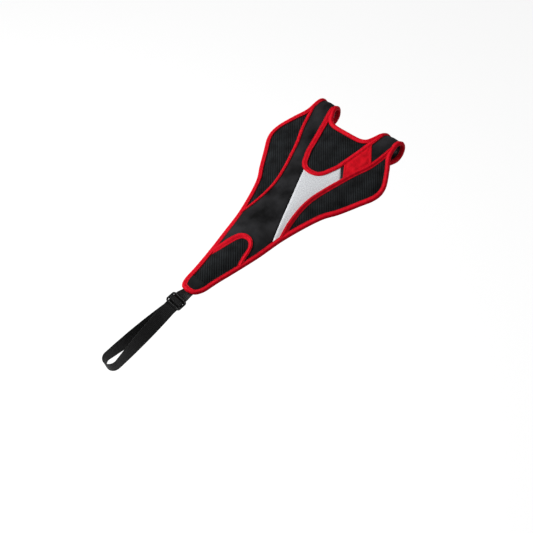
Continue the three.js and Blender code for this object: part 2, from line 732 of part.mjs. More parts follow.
// Rectangular patch of hook or loop tape on the underside of the lining
function fastenerPatch(middle, halfWidth, from, to, thickness) {
  const steps = 5;
  const [low, high] = [-LAYER_GAP - thickness, -LAYER_GAP];
  const rings = Array.from({ length: steps + 1 }, (_, i) => {
    const t = THREE.MathUtils.lerp(from, to, i / steps);
    const across = [-1, -0.33, 0.33, 1].map((s) => middle + s * halfWidth);
    const lowSide = across.map((x) => place(x, t, low));
    const highSide = across.map((x) => place(x, t, high)).reverse();
    return [...lowSide, ...highSide];
  });
  return sweep(rings);
}

// Materials
function fabric(color, roughness = 0.9) {
  return new THREE.MeshStandardMaterial({ color, roughness, metalness: 0 });
}
const SMOOTH_BLACK = fabric(0x262626, 0.85);
const BLACK_MESH = fabric(0x161616);
const RED_TAPE = fabric(0xd8101e, 0.7);
const SILVER_CLOTH = fabric(0xc9cbcd, 0.6);
const RED_LABEL = fabric(0xd01424, 0.75);
const LINING_CLOTH = fabric(0x1d1f22, 0.8);
const BLACK_WEBBING = fabric(0x101010, 0.75);
const BLACK_PLASTIC = fabric(0x1a1a1a, 0.45);
const BLACK_FASTENER = fabric(0x181818, 0.95);

// Assembly
const guard = new THREE.Group();

function add(name, geometry, material) {
  const mesh = new THREE.Mesh(geometry, material);
  mesh.name = name;
  guard.add(mesh);
  return mesh;
}

const SIDE_LINE = smoothLine(SIDE_SEAM);
const NECK_LINE_FULL = throughMiddle(smoothLine(NECK_SEAM));
const TAIL_LINE_FULL = smoothLine(TAIL_SEAM);

function wingShape(grow) {
  const seam = offsetLine(SIDE_LINE, grow);
  return [...seam, [FAR, seam.at(-1)[1]], [FAR, seam[0][1]]];
}

function neckShape(grow) {
  const line = offsetLine(NECK_LINE_FULL, grow).filter(([, t]) => t > NECK_AT + 2);
  const exit = [[ARM_INNER - 7, NECK_AT - 13], [ARM_INNER - 17, NECK_AT - 20]];
  return [...line, ...exit, ...mirrored(exit).reverse()];
}

function tailShape(grow) {
  const line = offsetLine(TAIL_LINE_FULL, -grow);
  const end = GUARD_LENGTH + 20;
  return [...line, [FAR, line.at(-1)[1]], [FAR, end], [-FAR, end], [-FAR, line[0][1]]];
}

function insetShape(grow) {
  const underNeck = offsetLine(smoothLine(NECK_SEAM), -INSET_UNDERLAP);
  const alongNeck = underNeck.filter(([, t]) => t > INSET_END[0][1] + INSET_CORNER);
  const alongSide = SIDE_LINE.filter(([, t]) => t > INSET_END[1][1] && t < INSET_LEFT[1][1] - CUTTING_MARGIN);
  const left = offsetLine(INSET_LEFT, grow);
  const end = offsetLine(INSET_END, -grow);
  return [left[0], ...alongNeck, ...end, ...alongSide, left[1]];
}

// The black cloth ahead of the silver inset, with the right arm
function rightArmShape() {
  const [[x0, t0], [x1, t1]] = INSET_END;
  const ahead = -2 * BAR_DIAMETER;
  return [[x0, ahead], [x0, t0], [x1, t1], [FAR, t1], [FAR, ahead]];
}

function cutPanels() {
  const space = cuttingSpace(-CUTTING_MARGIN, HEIGHT.panelTop + CUTTING_MARGIN);
  const region = (shape) => patternBlock(shape).intersect(space);
  const layer = toSolid(wholeLayer(HEIGHT.panelLow, HEIGHT.panelTop));
  const shapes = {
    right_wing_mesh: wingShape,
    left_wing_mesh: (grow) => mirrored(wingShape(grow)).reverse(),
    neck_mesh: neckShape,
    tail_mesh: tailShape,
  };
  let rest = layer;
  for (const [name, shape] of Object.entries(shapes)) {
    add(name, toGeometry(layer.intersect(region(shape(0)))), BLACK_MESH);
    rest = rest.subtract(region(shape(GAP)));
  }
  add('silver_inset', toGeometry(rest.intersect(region(insetShape(0)))), SILVER_CLOTH);
  const black = rest.subtract(region(insetShape(GAP)));
  const arm = patternBlock(rightArmShape());
  add('centre_panel', toGeometry(black.subtract(arm)), SMOOTH_BLACK);
  add('right_arm_panel', toGeometry(black.intersect(arm)), SMOOTH_BLACK);
}

cutPanels();
add('backing_lining', wholeLayer(0, HEIGHT.liningTop), LINING_CLOTH);
add('edge_binding', edgeBinding(), RED_TAPE);

const binding = bindingSpace();
const tapes = {
  right_seam_tape: SIDE_LINE,
  left_seam_tape: mirrored(SIDE_LINE),
  neck_seam_tape: NECK_LINE_FULL,
  tail_seam_tape: TAIL_LINE_FULL,
};
for (const [name, line] of Object.entries(tapes)) {
  add(name, toGeometry(seamTape(line).subtract(binding)), RED_TAPE);
}

function labelTab() {
  const layer = toSolid(wholeLayer(HEIGHT.trimLow, HEIGHT.trimLow + LABEL_THICKNESS));
  const shape = [LABEL_START[0], LABEL_START[1], LABEL_END[1], LABEL_END[0]];
  const space = cuttingSpace(-CUTTING_MARGIN, HEIGHT.trimLow + CUTTING_MARGIN);
  const label = layer.intersect(patternBlock(shape).intersect(space));
  return label.subtract(seamTape(SIDE_LINE, GAP)).subtract(seamTape(NECK_LINE_FULL, GAP));
}
add('label_tab', toGeometry(labelTab()), RED_LABEL);

function tailReinforcement() {
  const layer = toSolid(wholeLayer(HEIGHT.trimLow, HEIGHT.trimLow + REINFORCEMENT_THICKNESS));
  const [near, far] = [GUARD_LENGTH - REINFORCEMENT_LENGTH, GUARD_LENGTH];
  const half = TAIL_HALF_WIDTH + 8;
  const shape = [[-half, near], [half, near], [half, far], [-half, far]];
  return layer.intersect(patternBlock(shape)).subtract(binding);
}
add('tail_reinforcement', toGeometry(tailReinforcement()), SMOOTH_BLACK);

const ARM_MIDDLE = (ARM_OUTER + ARM_INNER) / 2;
const HOOK_FROM = BAR_END - ARM_SPAN - 2;
const HOOK_TO = ARM_TIP + BINDING_WIDTH + GAP;
const LOOP_FROM = ARM_JOIN_AT - 4;
for (const [side, name] of [[1, 'right'], [-1, 'left']]) {
  const middle = side * ARM_MIDDLE;
  const loop = fastenerPatch(middle, LOOP_HALF_WIDTH, LOOP_FROM, LOOP_FROM + LOOP_LENGTH, LOOP_THICKNESS);
  const hook = fastenerPatch(middle, HOOK_HALF_WIDTH, HOOK_FROM, HOOK_TO, HOOK_THICKNESS);
  add(`${name}_loop_patch`, loop, BLACK_FASTENER);
  add(`${name}_hook_patch`, hook, BLACK_FASTENER);
}

add('strap_webbing', webbing(), BLACK_WEBBING);
const slider = add('strap_slider', sliderGeometry(), BLACK_PLASTIC);
const sliderFrame = twistedFrame(SLIDER_TWIST);
const sliderBasis = new THREE.Matrix4().makeBasis(
  sliderFrame.across, sliderFrame.face.clone().cross(sliderFrame.across), sliderFrame.face,
);
slider.quaternion.setFromRotationMatrix(sliderBasis);
slider.position.copy(sliderPoint(0, 0));

export default guard;
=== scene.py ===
import math

import bmesh
import bpy
import numpy as np
from mathutils import Matrix, Vector
from mathutils.geometry import delaunay_2d_cdt


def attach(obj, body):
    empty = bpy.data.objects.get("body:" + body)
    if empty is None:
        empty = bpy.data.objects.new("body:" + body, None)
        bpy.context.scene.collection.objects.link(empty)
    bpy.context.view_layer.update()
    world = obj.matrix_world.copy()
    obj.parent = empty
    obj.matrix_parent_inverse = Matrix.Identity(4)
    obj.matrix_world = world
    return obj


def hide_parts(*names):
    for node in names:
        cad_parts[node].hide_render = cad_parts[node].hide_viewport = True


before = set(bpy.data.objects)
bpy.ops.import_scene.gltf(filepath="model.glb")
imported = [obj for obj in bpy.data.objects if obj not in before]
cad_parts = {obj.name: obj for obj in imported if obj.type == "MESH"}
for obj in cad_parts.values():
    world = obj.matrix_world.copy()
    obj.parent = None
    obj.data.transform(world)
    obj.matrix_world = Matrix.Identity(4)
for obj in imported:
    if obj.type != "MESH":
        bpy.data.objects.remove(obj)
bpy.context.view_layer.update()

MM = 0.001

# Camera, at the photograph's viewing angle
PHOTO_SIDE = 533
FOCAL_LENGTH_PX = 1522.1
CAMERA_AZIMUTH = math.radians(45.882)
CAMERA_ELEVATION = math.radians(44.636)
CAMERA_ROLL = math.radians(-3.029)
CAMERA_DISTANCE = 2854.9
LOOK_AT = np.array([36.43, -297.57, -124.12])

# The loops of the arms and of the webbing
ARM_LOOP_INSIDE = 31.8
STRAP_LOOP_INSIDE = 27.2
STRAP_LOOP_LEAN = math.radians(16.5)
STRAP_LOOP_CENTRE = np.array([0.0, -654.0, -117.5])

# Cloth and tape
LINING_TOP = 0.9
CLOTH_LOW = 1.0
CLOTH_TOP = 3.6
BINDING_WIDTH = 10.0
TAPE_WIDTH = 9.0
CLOTH_INSET = 1.8
ARM_CLEARANCE = 0.4
BINDING_THICKNESS = 1.0
LAYER_GAP = 0.5
GAP = 0.3

# Drape
LEAVE_ANGLE = math.radians(17.5)
TAIL_DROP = 86.0
WING_DROOP = 15.0
TAIL_DROOP = 3.0
DROOP_START = 85.0

# Finished outline
GUARD_LENGTH = 468.5
TAIL_HALF_WIDTH = 23.0
WAIST_HALF_WIDTH = 58.0
WAIST_AT = 265.0
WING_HALF_WIDTH = 140.3
WING_AT = 93.0
ARM_OUTER = 103.0
ARM_INNER = 61.0
ARM_MIDDLE = (ARM_OUTER + ARM_INNER) / 2
NECK_AT = 26.0
ARM_CORNER = 12.0

# Arms, which loop over and back, and fasten under the lining
ARM_TURN = math.radians(14)
ARM_SPAN = 57.0
ARM_JOIN_AT = 60.0
ARM_OVERLAP = 42.0
HOOK_THICKNESS = 1.3
LOOP_THICKNESS = 1.5
HOOK_HALF_WIDTH = 10.0
LOOP_HALF_WIDTH = 12.0
LOOP_LENGTH = 52.0

# Seams
NECK_SEAM_AT = 133.5
SIDE_SEAM_WAIST = 41.5
TAIL_SEAM_AT = 312.5

# Strap and slider
WEBBING_WIDTH = 25.0
WEBBING_THICKNESS = 1.3
SEWN_LENGTH = 36.0
SLIDER_AT = 26.0
SLIDER_TWIST = math.radians(22)
SLIDER_WIDTH = 34.0
SLIDER_LENGTH = 24.0
SLIDER_CORNER = 5.5
SLIDER_THICKNESS = 3.2
SLIDER_BAR = 4.0
SLIDER_CENTRE_BAR = 4.5
FOLD_LENGTH = 20.0
FOLD_RADIUS = 1.5
STRAP_CLEARANCE = 0.3

WRAP_RADIUS = ARM_LOOP_INSIDE / 2 + ARM_CLEARANCE + BINDING_THICKNESS + LAYER_GAP
FASTENER_STACK = 2 * LAYER_GAP + GAP + HOOK_THICKNESS + LOOP_THICKNESS
TANGENT_AT = WRAP_RADIUS * math.sin(LEAVE_ANGLE)
LEAVE_HEIGHT = WRAP_RADIUS * math.cos(LEAVE_ANGLE)
LEAVE_SLOPE = math.tan(LEAVE_ANGLE)
WRAP_END = TANGENT_AT - WRAP_RADIUS * (LEAVE_ANGLE + math.pi + ARM_TURN)
ARM_TIP = WRAP_END - ARM_SPAN - ARM_OVERLAP
RUN = GUARD_LENGTH - TANGENT_AT
SAG = (LEAVE_SLOPE * RUN - TAIL_DROP - LEAVE_HEIGHT) / RUN**2

# Pattern lines of the right-hand side, from the tail or the middle outwards
OUTLINE = [
    (0, GUARD_LENGTH), (TAIL_HALF_WIDTH - 8, GUARD_LENGTH - 4.5), (TAIL_HALF_WIDTH, GUARD_LENGTH - 17.5),
    (TAIL_HALF_WIDTH + 6.5, GUARD_LENGTH - 56.5), (WAIST_HALF_WIDTH - 12, WAIST_AT + 68),
    (WAIST_HALF_WIDTH, WAIST_AT), (WAIST_HALF_WIDTH + 25.5, WAIST_AT - 70),
    (WAIST_HALF_WIDTH + 43.5, WAIST_AT - 97),
    (WING_HALF_WIDTH - 18, WING_AT + 40), (WING_HALF_WIDTH - 4, WING_AT + 16), (WING_HALF_WIDTH, WING_AT),
    (WING_HALF_WIDTH - 3, WING_AT - 19), (ARM_OUTER + 18.5, WING_AT - 47), (ARM_OUTER + 4, 24),
    (ARM_OUTER, 2),
]
NECK_LINE = [
    (0, NECK_AT), (ARM_INNER - 38, NECK_AT - 0.3), (ARM_INNER - 27, NECK_AT - 1.6),
    (ARM_INNER - 18, NECK_AT - 6), (ARM_INNER - 10.5, NECK_AT - 17), (ARM_INNER - 3.5, NECK_AT - 33),
    (ARM_INNER, NECK_AT - 52),
]
SIDE_SEAM = [
    (ARM_OUTER + 3.5, -4), (ARM_OUTER - 3.5, 15), (ARM_OUTER - 7.5, 30), (ARM_OUTER - 16.5, 60),
    (SIDE_SEAM_WAIST + 31, WING_AT - 3), (SIDE_SEAM_WAIST + 19.5, 120), (SIDE_SEAM_WAIST + 9, 150),
    (SIDE_SEAM_WAIST + 1.5, 180), (SIDE_SEAM_WAIST, 208), (SIDE_SEAM_WAIST + 3.5, WAIST_AT - 25),
    (WAIST_HALF_WIDTH - 8, WAIST_AT - 3), (WAIST_HALF_WIDTH - 2, WAIST_AT + 20),
    (WAIST_HALF_WIDTH + 3, WAIST_AT + 40),
]
NECK_SEAM = [
    (0, NECK_SEAM_AT), (13, NECK_SEAM_AT - 2.5), (22.5, NECK_SEAM_AT - 10), (29.3, NECK_SEAM_AT - 22.5),
    (36, NECK_SEAM_AT - 36.5), (41, NECK_SEAM_AT - 54.5), (46, NECK_SEAM_AT - 72.5),
    (ARM_INNER - 10.5, NECK_AT + 18), (ARM_INNER - 7, NECK_AT + 4), (ARM_INNER - 2.5, NECK_AT - 11),
    (ARM_INNER + 1, NECK_AT - 28),
]
INSET_LEFT = [(-16.1, NECK_SEAM_AT - 4), (WAIST_HALF_WIDTH - 7, WAIST_AT + 39)]
INSET_END = [(34, NECK_SEAM_AT - 49.5), (67, NECK_SEAM_AT - 9.5)]
LABEL_END = [(41, NECK_SEAM_AT - 51.5), (63.6, NECK_SEAM_AT - 20.5)]
LABEL_START = [(ARM_INNER - 5.5, NECK_AT - 7), (ARM_OUTER - 16.7, NECK_AT + 31)]

# The tail seam runs from the left to the right, and isn't the same on both sides
TAIL_SEAM = [
    (-43, TAIL_SEAM_AT + 83), (-34, TAIL_SEAM_AT + 68), (-26.8, TAIL_SEAM_AT + 52.5),
    (-21.3, TAIL_SEAM_AT + 37), (-17.3, TAIL_SEAM_AT + 23.5), (-13.5, TAIL_SEAM_AT + 13),
    (-7.5, TAIL_SEAM_AT + 3.8), (0, TAIL_SEAM_AT), (12, TAIL_SEAM_AT + 0.6), (21, TAIL_SEAM_AT + 8.3),
    (26, TAIL_SEAM_AT + 20.3), (29, TAIL_SEAM_AT + 35.1), (33.5, TAIL_SEAM_AT + 50.8),
    (38.5, TAIL_SEAM_AT + 66.6), (44, TAIL_SEAM_AT + 82.5),
]


# Lines in the pattern
def run_along(line):
    """The length of the line up to each of its points."""
    return np.concatenate([[0], np.cumsum(np.linalg.norm(np.diff(line, axis=0), axis=1))])


def closed_line(outline):
    """The outline with its first point again at its end."""
    return np.vstack([outline, outline[:1]])


def evenly(line, step):
    """The line with a point about every step of its length."""
    run = run_along(line)
    at = np.linspace(0, run[-1], max(round(run[-1] / step), 1) + 1)
    return np.stack([np.interp(at, run, line[:, k]) for k in range(line.shape[1])], 1)


def curve_weights(s):
    """Weights of a curve's start, the way it starts, its end and the way it ends, at a share s of it."""
    return 2 * s**3 - 3 * s**2 + 1, s**3 - 2 * s**2 + s, 3 * s**2 - 2 * s**3, s**3 - s**2


def smooth_line(points, step=2.0):
    """A curve through the points, with a point about every step of its length."""
    p = np.array(points, float)
    p = np.vstack([2 * p[0] - p[1], p, 2 * p[-1] - p[-2]])
    at_start, way_out, at_end, way_in = curve_weights(np.linspace(0, 1, 24, endpoint=False)[:, None])
    pieces = []
    for a, b, c, d in zip(p, p[1:], p[2:], p[3:]):
        k0, k1, k2 = (math.sqrt(np.linalg.norm(v - u)) for u, v in ((a, b), (b, c), (c, d)))
        start = ((b - a) / k0 - (c - a) / (k0 + k1) + (c - b) / k1) * k1
        end = ((c - b) / k1 - (d - b) / (k1 + k2) + (d - c) / k2) * k1
        pieces.append(at_start * b + way_out * start + at_end * c + way_in * end)
    return evenly(np.vstack([*pieces, p[-2:-1]]), step)


def mirrored(line):
    return np.array(line, float) * (-1, 1)


def through_middle(line):
    return np.vstack([mirrored(line)[::-1], line[1:]])


def line_normals(line, closed=False, smoothing=0):
    """Pattern normals, pointing out of an outline that runs from the tail up the right-hand side."""
    if closed:
        along = np.roll(line, -1, 0) - np.roll(line, 1, 0)
    else:
        along = np.gradient(line, axis=0)
    for _ in range(smoothing):
        around = (np.roll(along, 1, 0) + np.roll(along, -1, 0)) / 2
        along = (along + around) / 2 if closed else along
    normals = np.stack([-along[:, 1], along[:, 0]], 1)
    return normals / np.linalg.norm(normals, axis=1, keepdims=True)


def offset_line(line, distance, closed=False):
    return line + line_normals(line, closed) * distance


def distance_to(points, line):
    """Distance from each point to the nearest place on a line."""
    found = np.full(len(points), np.inf)
    for a, b in zip(line, line[1:]):
        side = b - a
        share = np.clip(((points - a) @ side) / max(side @ side, 1e-9), 0, 1)
        found = np.minimum(found, np.linalg.norm(points - a - share[:, None] * side, axis=1))
    return found


def is_inside(points, outline):
    x, t = points[:, 0], points[:, 1]
    odd = np.zeros(len(points), bool)
    for (x0, t0), (x1, t1) in zip(outline, np.roll(outline, -1, 0)):
        crosses = (t0 > t) != (t1 > t)
        if t0 != t1:
            odd ^= crosses & (x < x0 + (t - t0) / (t1 - t0) * (x1 - x0))
    return odd


def signed_area(outline):
    x, t = np.array(outline).T
    return (np.dot(x, np.roll(t, -1)) - np.dot(t, np.roll(x, -1))) / 2


def flat_area(outline):
    return abs(signed_area(outline))


def anticlockwise(outline):
    return outline if signed_area(outline) > 0 else outline[::-1]


# Draped surface
OUTER_EDGE = smooth_line(OUTLINE, 3.0)
WIDTHS = OUTER_EDGE[np.argsort(OUTER_EDGE[:, 1])]


def smoothstep(value, low, high):
    s = np.clip((value - low) / (high - low), 0, 1)
    return s * s * (3 - 2 * s)


def half_width(t):
    return np.interp(t, WIDTHS[:, 1], WIDTHS[:, 0])


def spread_at(t):
    """Half the cloth's width, evened out over a little of its length."""
    reach = 15
    return sum(half_width(np.minimum(t + d, GUARD_LENGTH - reach)) for d in (-reach, 0, reach)) / 3


def body_height(x, t):
    run = t - TANGENT_AT
    ridge = LEAVE_HEIGHT - LEAVE_SLOPE * run + SAG * run**2
    towards_tail = np.maximum(t / GUARD_LENGTH, 0) ** 3
    droop = smoothstep(run, 0, DROOP_START) * (WING_DROOP + (TAIL_DROOP - WING_DROOP) * towards_tail)
    return ridge - droop * (x / spread_at(t)) ** 2


def wrapped_arm(t):
    angle = LEAVE_ANGLE - (TANGENT_AT - t) / WRAP_RADIUS
    return -WRAP_RADIUS * np.sin(angle), WRAP_RADIUS * np.cos(angle)


def under_height(x, t):
    return body_height(x, t) - FASTENER_STACK / math.cos(LEAVE_ANGLE)


def returning_arm(x, t):
    length = WRAP_END - t
    y0, z0 = wrapped_arm(WRAP_END)
    z1 = under_height(x, ARM_JOIN_AT)
    slope = under_height(x, ARM_JOIN_AT + 1) - z1
    a, b, c, d = curve_weights(np.clip(length / ARM_SPAN, 0, 1))
    y = a * y0 - b * ARM_SPAN * math.cos(ARM_TURN) - c * ARM_JOIN_AT - d * ARM_SPAN
    z = a * z0 + b * ARM_SPAN * math.sin(ARM_TURN) + c * z1 + d * ARM_SPAN * slope
    under = ARM_JOIN_AT + length - ARM_SPAN
    return np.where(length > ARM_SPAN, -under, y), np.where(length > ARM_SPAN, under_height(x, under), z)


def surface(x, t):
    x, t = np.broadcast_arrays(np.asarray(x, float), np.asarray(t, float))
    wrap_y, wrap_z = wrapped_arm(t)
    arm_y, arm_z = returning_arm(x, t)
    y = np.where(t >= TANGENT_AT, -t, np.where(t >= WRAP_END, wrap_y, arm_y))
    z = np.where(t >= TANGENT_AT, body_height(x, t), np.where(t >= WRAP_END, wrap_z, arm_z))
    return np.stack([x, y, z], -1)


def surface_normal(x, t):
    step = 0.5
    across = surface(x + step, t) - surface(x - step, t)
    ahead = surface(x, t - step) - surface(x, t + step)
    found = np.cross(across, ahead)
    return found / np.linalg.norm(found, axis=-1, keepdims=True)


# Waves of slack: height, the lengths over x and over t that turn the wave by a radian, and its start
SLACK_WAVES = [(0.8, 21, 52, 0.0), (0.5, 34, -27, 1.0), (0.25, 9.5, -71, 2.0)]
SLACK_STARTS = (30, 110)
SLACK_ENDS = (330, 450)


def ripple(x, t):
    """Slack of cloth that is held only at its two ends."""
    loose = smoothstep(t, *SLACK_STARTS) * (1 - smoothstep(t, *SLACK_ENDS))
    return loose * sum(height * np.sin(x / over_x + t / over_t + start)
                       for height, over_x, over_t, start in SLACK_WAVES)


def place(x, t, height):
    x, t = np.asarray(x, float), np.asarray(t, float)
    return surface(x, t) + surface_normal(x, t) * (height + ripple(x, t))[..., None]


# Outline of the whole guard, with its arms
def arm_tip():
    angles = np.linspace(0, math.pi / 2, 8)
    outer = [(ARM_OUTER - ARM_CORNER + ARM_CORNER * math.cos(a), ARM_TIP + ARM_CORNER * (1 - math.sin(a)))
             for a in angles]
    inner = [(ARM_INNER + ARM_CORNER - ARM_CORNER * math.sin(a), ARM_TIP + ARM_CORNER * (1 - math.cos(a)))
             for a in angles]
    return np.array(outer + inner)


def whole_outline(step=2.0):
    right = np.vstack([smooth_line(OUTLINE), arm_tip(), smooth_line(NECK_LINE)[::-1]])
    right = evenly(right, step)
    return np.vstack([right, mirrored(right)[::-1][1:-1]])


WHOLE_OUTLINE = whole_outline()
CLOTH_OUTLINE = offset_line(WHOLE_OUTLINE, -CLOTH_INSET, closed=True)
SIDE_LINE = smooth_line(SIDE_SEAM)
NECK_SEAM_LINE = through_middle(smooth_line(NECK_SEAM))
TAIL_SEAM_LINE = smooth_line(TAIL_SEAM)


# Meshes
def make_object(name, points, faces, uv, material):
    """A mesh from points in millimetres. Its pattern map holds millimetres of cloth, for the weaves."""
    mesh = bpy.data.meshes.new(name)
    mesh.from_pydata((np.asarray(points) * MM).tolist(), [], [list(map(int, f)) for f in faces])
    layer = mesh.uv_layers.new(name="pattern")
    corners = np.zeros(len(mesh.loops), np.int32)
    mesh.loops.foreach_get("vertex_index", corners)
    layer.uv.foreach_set("vector", np.asarray(uv, np.float32)[corners].ravel())
    mesh.polygons.foreach_set("use_smooth", np.ones(len(mesh.polygons), bool))
    mesh.materials.append(material)
    edited = bmesh.new()
    edited.from_mesh(mesh)
    bmesh.ops.recalc_face_normals(edited, faces=edited.faces)
    edited.to_mesh(mesh)
    edited.free()
    made = bpy.data.objects.new(name, mesh)
    bpy.context.scene.collection.objects.link(made)
    return made


def add_piece(name, points, faces, uv, material, slot, replaced=()):
    made = make_object(name, points, faces, uv, material)
    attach(made, "root")
    if replaced:
        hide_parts(*replaced)
    return made


def sweep_faces(rings, corners, closed):
    faces = []
    for i in range(rings if closed else rings - 1):
        a, b = i * corners, (i + 1) % rings * corners
        for k in range(corners):
            m = (k + 1) % corners
            faces.append((a + k, a + m, b + m, b + k))
    if not closed:
        faces += [range(corners), range((rings - 1) * corners, rings * corners)]
    return faces


# Rows of even triangles, in shares of their spacing, and how far they keep from an outline
ROW_SPACING = 0.87
CLEAR_OF_OUTLINE = 0.55


def filled_pattern(outline, spacing):
    """Triangles over a pattern shape: its outline's points, and rows of points inside it."""
    outline = anticlockwise(outline)
    low, high = outline.min(0), outline.max(0)
    rows = np.arange(low[1], high[1], spacing * ROW_SPACING)
    columns = np.arange(low[0], high[0], spacing)
    grid = np.array([(x + (i % 2) * spacing / 2, t) for i, t in enumerate(rows) for x in columns])
    grid = grid[is_inside(grid, outline)]
    grid = grid[distance_to(grid, closed_line(outline)) > spacing * CLEAR_OF_OUTLINE]
    points = [Vector(p) for p in np.vstack([outline, grid])]
    found = delaunay_2d_cdt(points, [], [list(range(len(outline)))], 1, 1e-5)
    return np.array([tuple(p) for p in found[0]]), [tuple(f) for f in found[2]]


def cloth_solid(outline, low, top, spacing=3.0):
    """Points, faces and pattern map of a cloth piece between a lower height and a top height function."""
    flat, triangles = filled_pattern(np.asarray(outline), spacing)
    edge_uses = {}
    for face in triangles:
        for a, b in zip(face, face[1:] + face[:1]):
            edge_uses.setdefault(frozenset((a, b)), []).append((a, b))
    rim = [uses[0] for uses in edge_uses.values() if len(uses) == 1]
    n = len(flat)
    x, t = flat.T
    low = np.full(n, float(low)) if np.isscalar(low) else low(flat)
    points = np.vstack([place(x, t, top(flat)), place(x, t, low)])
    faces = triangles + [tuple(i + n for i in reversed(face)) for face in triangles]
    faces += [(a, a + n, b + n, b) for a, b in rim]
    return points, faces, np.vstack([flat, flat])


# Puckers of sewn tape: share of the pucker, pitch and start
PUCKERS = [(1.0, 6.7, 0), (0.6, 11.3, 1)]


def surface_sweep(line, section, closed, smoothing=0, pucker=0.0, widths=None):
    """Points, faces and pattern map of a section carried along a pattern line. Widths multiply it there."""
    normals = line_normals(line, closed, smoothing)
    widths = np.ones(len(line)) if widths is None else widths
    run = run_along(line)
    section = np.asarray(section, float)
    waves = sum(share * np.sin(run * 2 * math.pi / pitch + start) for share, pitch, start in PUCKERS)
    lift = 1 + pucker * waves
    points, uv = [], []
    for (px, pt), (nx, nt), s, grow, width in zip(line, normals, run, lift, widths):
        out, height = section[:, 0] * width, section[:, 1]
        raised = np.where(height > CLOTH_TOP, CLOTH_TOP + (height - CLOTH_TOP) * grow, height)
        points.append(place(px + nx * out, pt + nt * out, raised))
        uv.append(np.stack([out, np.full(len(out), s)], 1))
    return np.vstack(points), sweep_faces(len(line), len(section), closed), np.vstack(uv)


# Materials
def linear(code):
    """Linear colour from a hex sRGB value."""
    found = []
    for shift in (16, 8, 0):
        c = (code >> shift & 255) / 255
        found.append(c / 12.92 if c <= 0.04045 else ((c + 0.055) / 1.055) ** 2.4)
    return (*found, 1.0)


def add_node(tree, kind, inputs, **settings):
    """Adds a node with its settings. An input, by name or number, is a value, or a node or socket to link."""
    made = tree.nodes.new(kind)
    for name, value in settings.items():
        setattr(made, name, value)
    for name, value in inputs.items():
        if isinstance(value, bpy.types.Node):
            value = value.outputs[0]
        if isinstance(value, bpy.types.NodeSocket):
            tree.links.new(value, made.inputs[name])
        else:
            made.inputs[name].default_value = value
    return made


def start_material(name):
    material = bpy.data.materials.new(name)
    material.use_nodes = True
    material.node_tree.nodes.clear()
    return material, material.node_tree


def start_cloth(name, angle=0.0):
    """A material with its pattern map in millimetres, turned by an angle: the map, across and along."""
    material, tree = start_material(name)
    pattern = add_node(tree, "ShaderNodeUVMap", {}, uv_map="pattern")
    turned = add_node(tree, "ShaderNodeVectorRotate", {"Vector": pattern, "Angle": angle},
                      rotation_type="Z_AXIS")
    split = add_node(tree, "ShaderNodeSeparateXYZ", {"Vector": turned})
    return material, tree, turned, split.outputs[0], split.outputs[1]


def ribs(tree, coordinate, pitch):
    """A smooth wave from 0 to 1 that repeats every pitch millimetres."""
    turns = add_node(tree, "ShaderNodeMath", {0: coordinate, 1: 2 * math.pi / pitch}, operation="MULTIPLY")
    wave = add_node(tree, "ShaderNodeMath", {0: turns}, operation="SINE")
    return add_node(tree, "ShaderNodeMapRange", {"Value": wave, "From Min": -1.0, "From Max": 1.0})


def woven(tree, across, along, across_pitch, along_pitch):
    """Raised spots where the threads of a weave cross."""
    crossing = {0: ribs(tree, across, across_pitch), 1: ribs(tree, along, along_pitch)}
    return add_node(tree, "ShaderNodeMath", crossing, operation="MULTIPLY")


def mottled(tree, vector, size, detail=3.0, low=0.0, high=1.0):
    """Soft spots of about the given size in millimetres, with low to high spread over 0 to 1."""
    spots = add_node(tree, "ShaderNodeTexNoise", {"Vector": vector, "Scale": 1 / size, "Detail": detail})
    return add_node(tree, "ShaderNodeMapRange", {"Value": spots, "From Min": low, "From Max": high})


def finish_material(material, shade, dark, light, height, depth, values):
    """The shade goes from dark to light, and the height is a bump of the given depth in millimetres."""
    tree = material.node_tree
    colour = add_node(tree, "ShaderNodeMix", {0: shade, 6: linear(dark), 7: linear(light)}, data_type="RGBA")
    surface_values = {"Base Color": colour.outputs[2], **values}
    if depth:
        bump = {"Height": height, "Distance": depth * MM, "Strength": 1.0}
        surface_values["Normal"] = add_node(tree, "ShaderNodeBump", bump)
    shader = add_node(tree, "ShaderNodeBsdfPrincipled", surface_values)
    add_node(tree, "ShaderNodeOutputMaterial", {"Surface": shader})
    return material


# Warp-knit polyester mesh: matt, with fine raised ribs and rows of eyelets between them.
# The ribs are as far apart as they show. A real mesh may have finer ones between them.
MESH_RIB_ANGLE = math.radians(42.5)
MESH_RIB_PITCH = 4.2
MESH_EYELET_PITCH = 3.0
MESH_PATCH_SIZE = 24.0


def warp_knit_mesh():
    material, tree, vector, across, along = start_cloth("warp_knit_mesh", MESH_RIB_ANGLE)
    rib = ribs(tree, across, MESH_RIB_PITCH)
    furrow = add_node(tree, "ShaderNodeMath", {0: 1.0, 1: rib}, operation="SUBTRACT")
    holes = {0: furrow, 1: ribs(tree, along, MESH_EYELET_PITCH)}
    eyelets = add_node(tree, "ShaderNodeMath", holes, operation="MULTIPLY")
    height = add_node(tree, "ShaderNodeMath", {0: rib, 1: eyelets}, operation="SUBTRACT")
    patchy = mottled(tree, vector, MESH_PATCH_SIZE, 3.0, 0.3, 0.8)
    lifted = add_node(tree, "ShaderNodeMath", {0: height, 1: 0.6}, operation="ADD")
    shade = add_node(tree, "ShaderNodeMath", {0: lifted, 1: patchy}, operation="MULTIPLY")
    return finish_material(material, shade, 0x0A0B0C, 0x25282A, height, 0.35,
                           {"Roughness": 0.8, "Specular IOR Level": 0.1})


# Polyester jersey on thin foam: smooth and matt, with a fine knit and soft dents where it is pressed. The
# colour is darker in the dents, which is painted shade.
# Real stitches are about 0.6 mm wide, and are drawn twice as coarse so that they show.
JERSEY_PITCH = 1.3
JERSEY_DENT_SIZE = 46.0


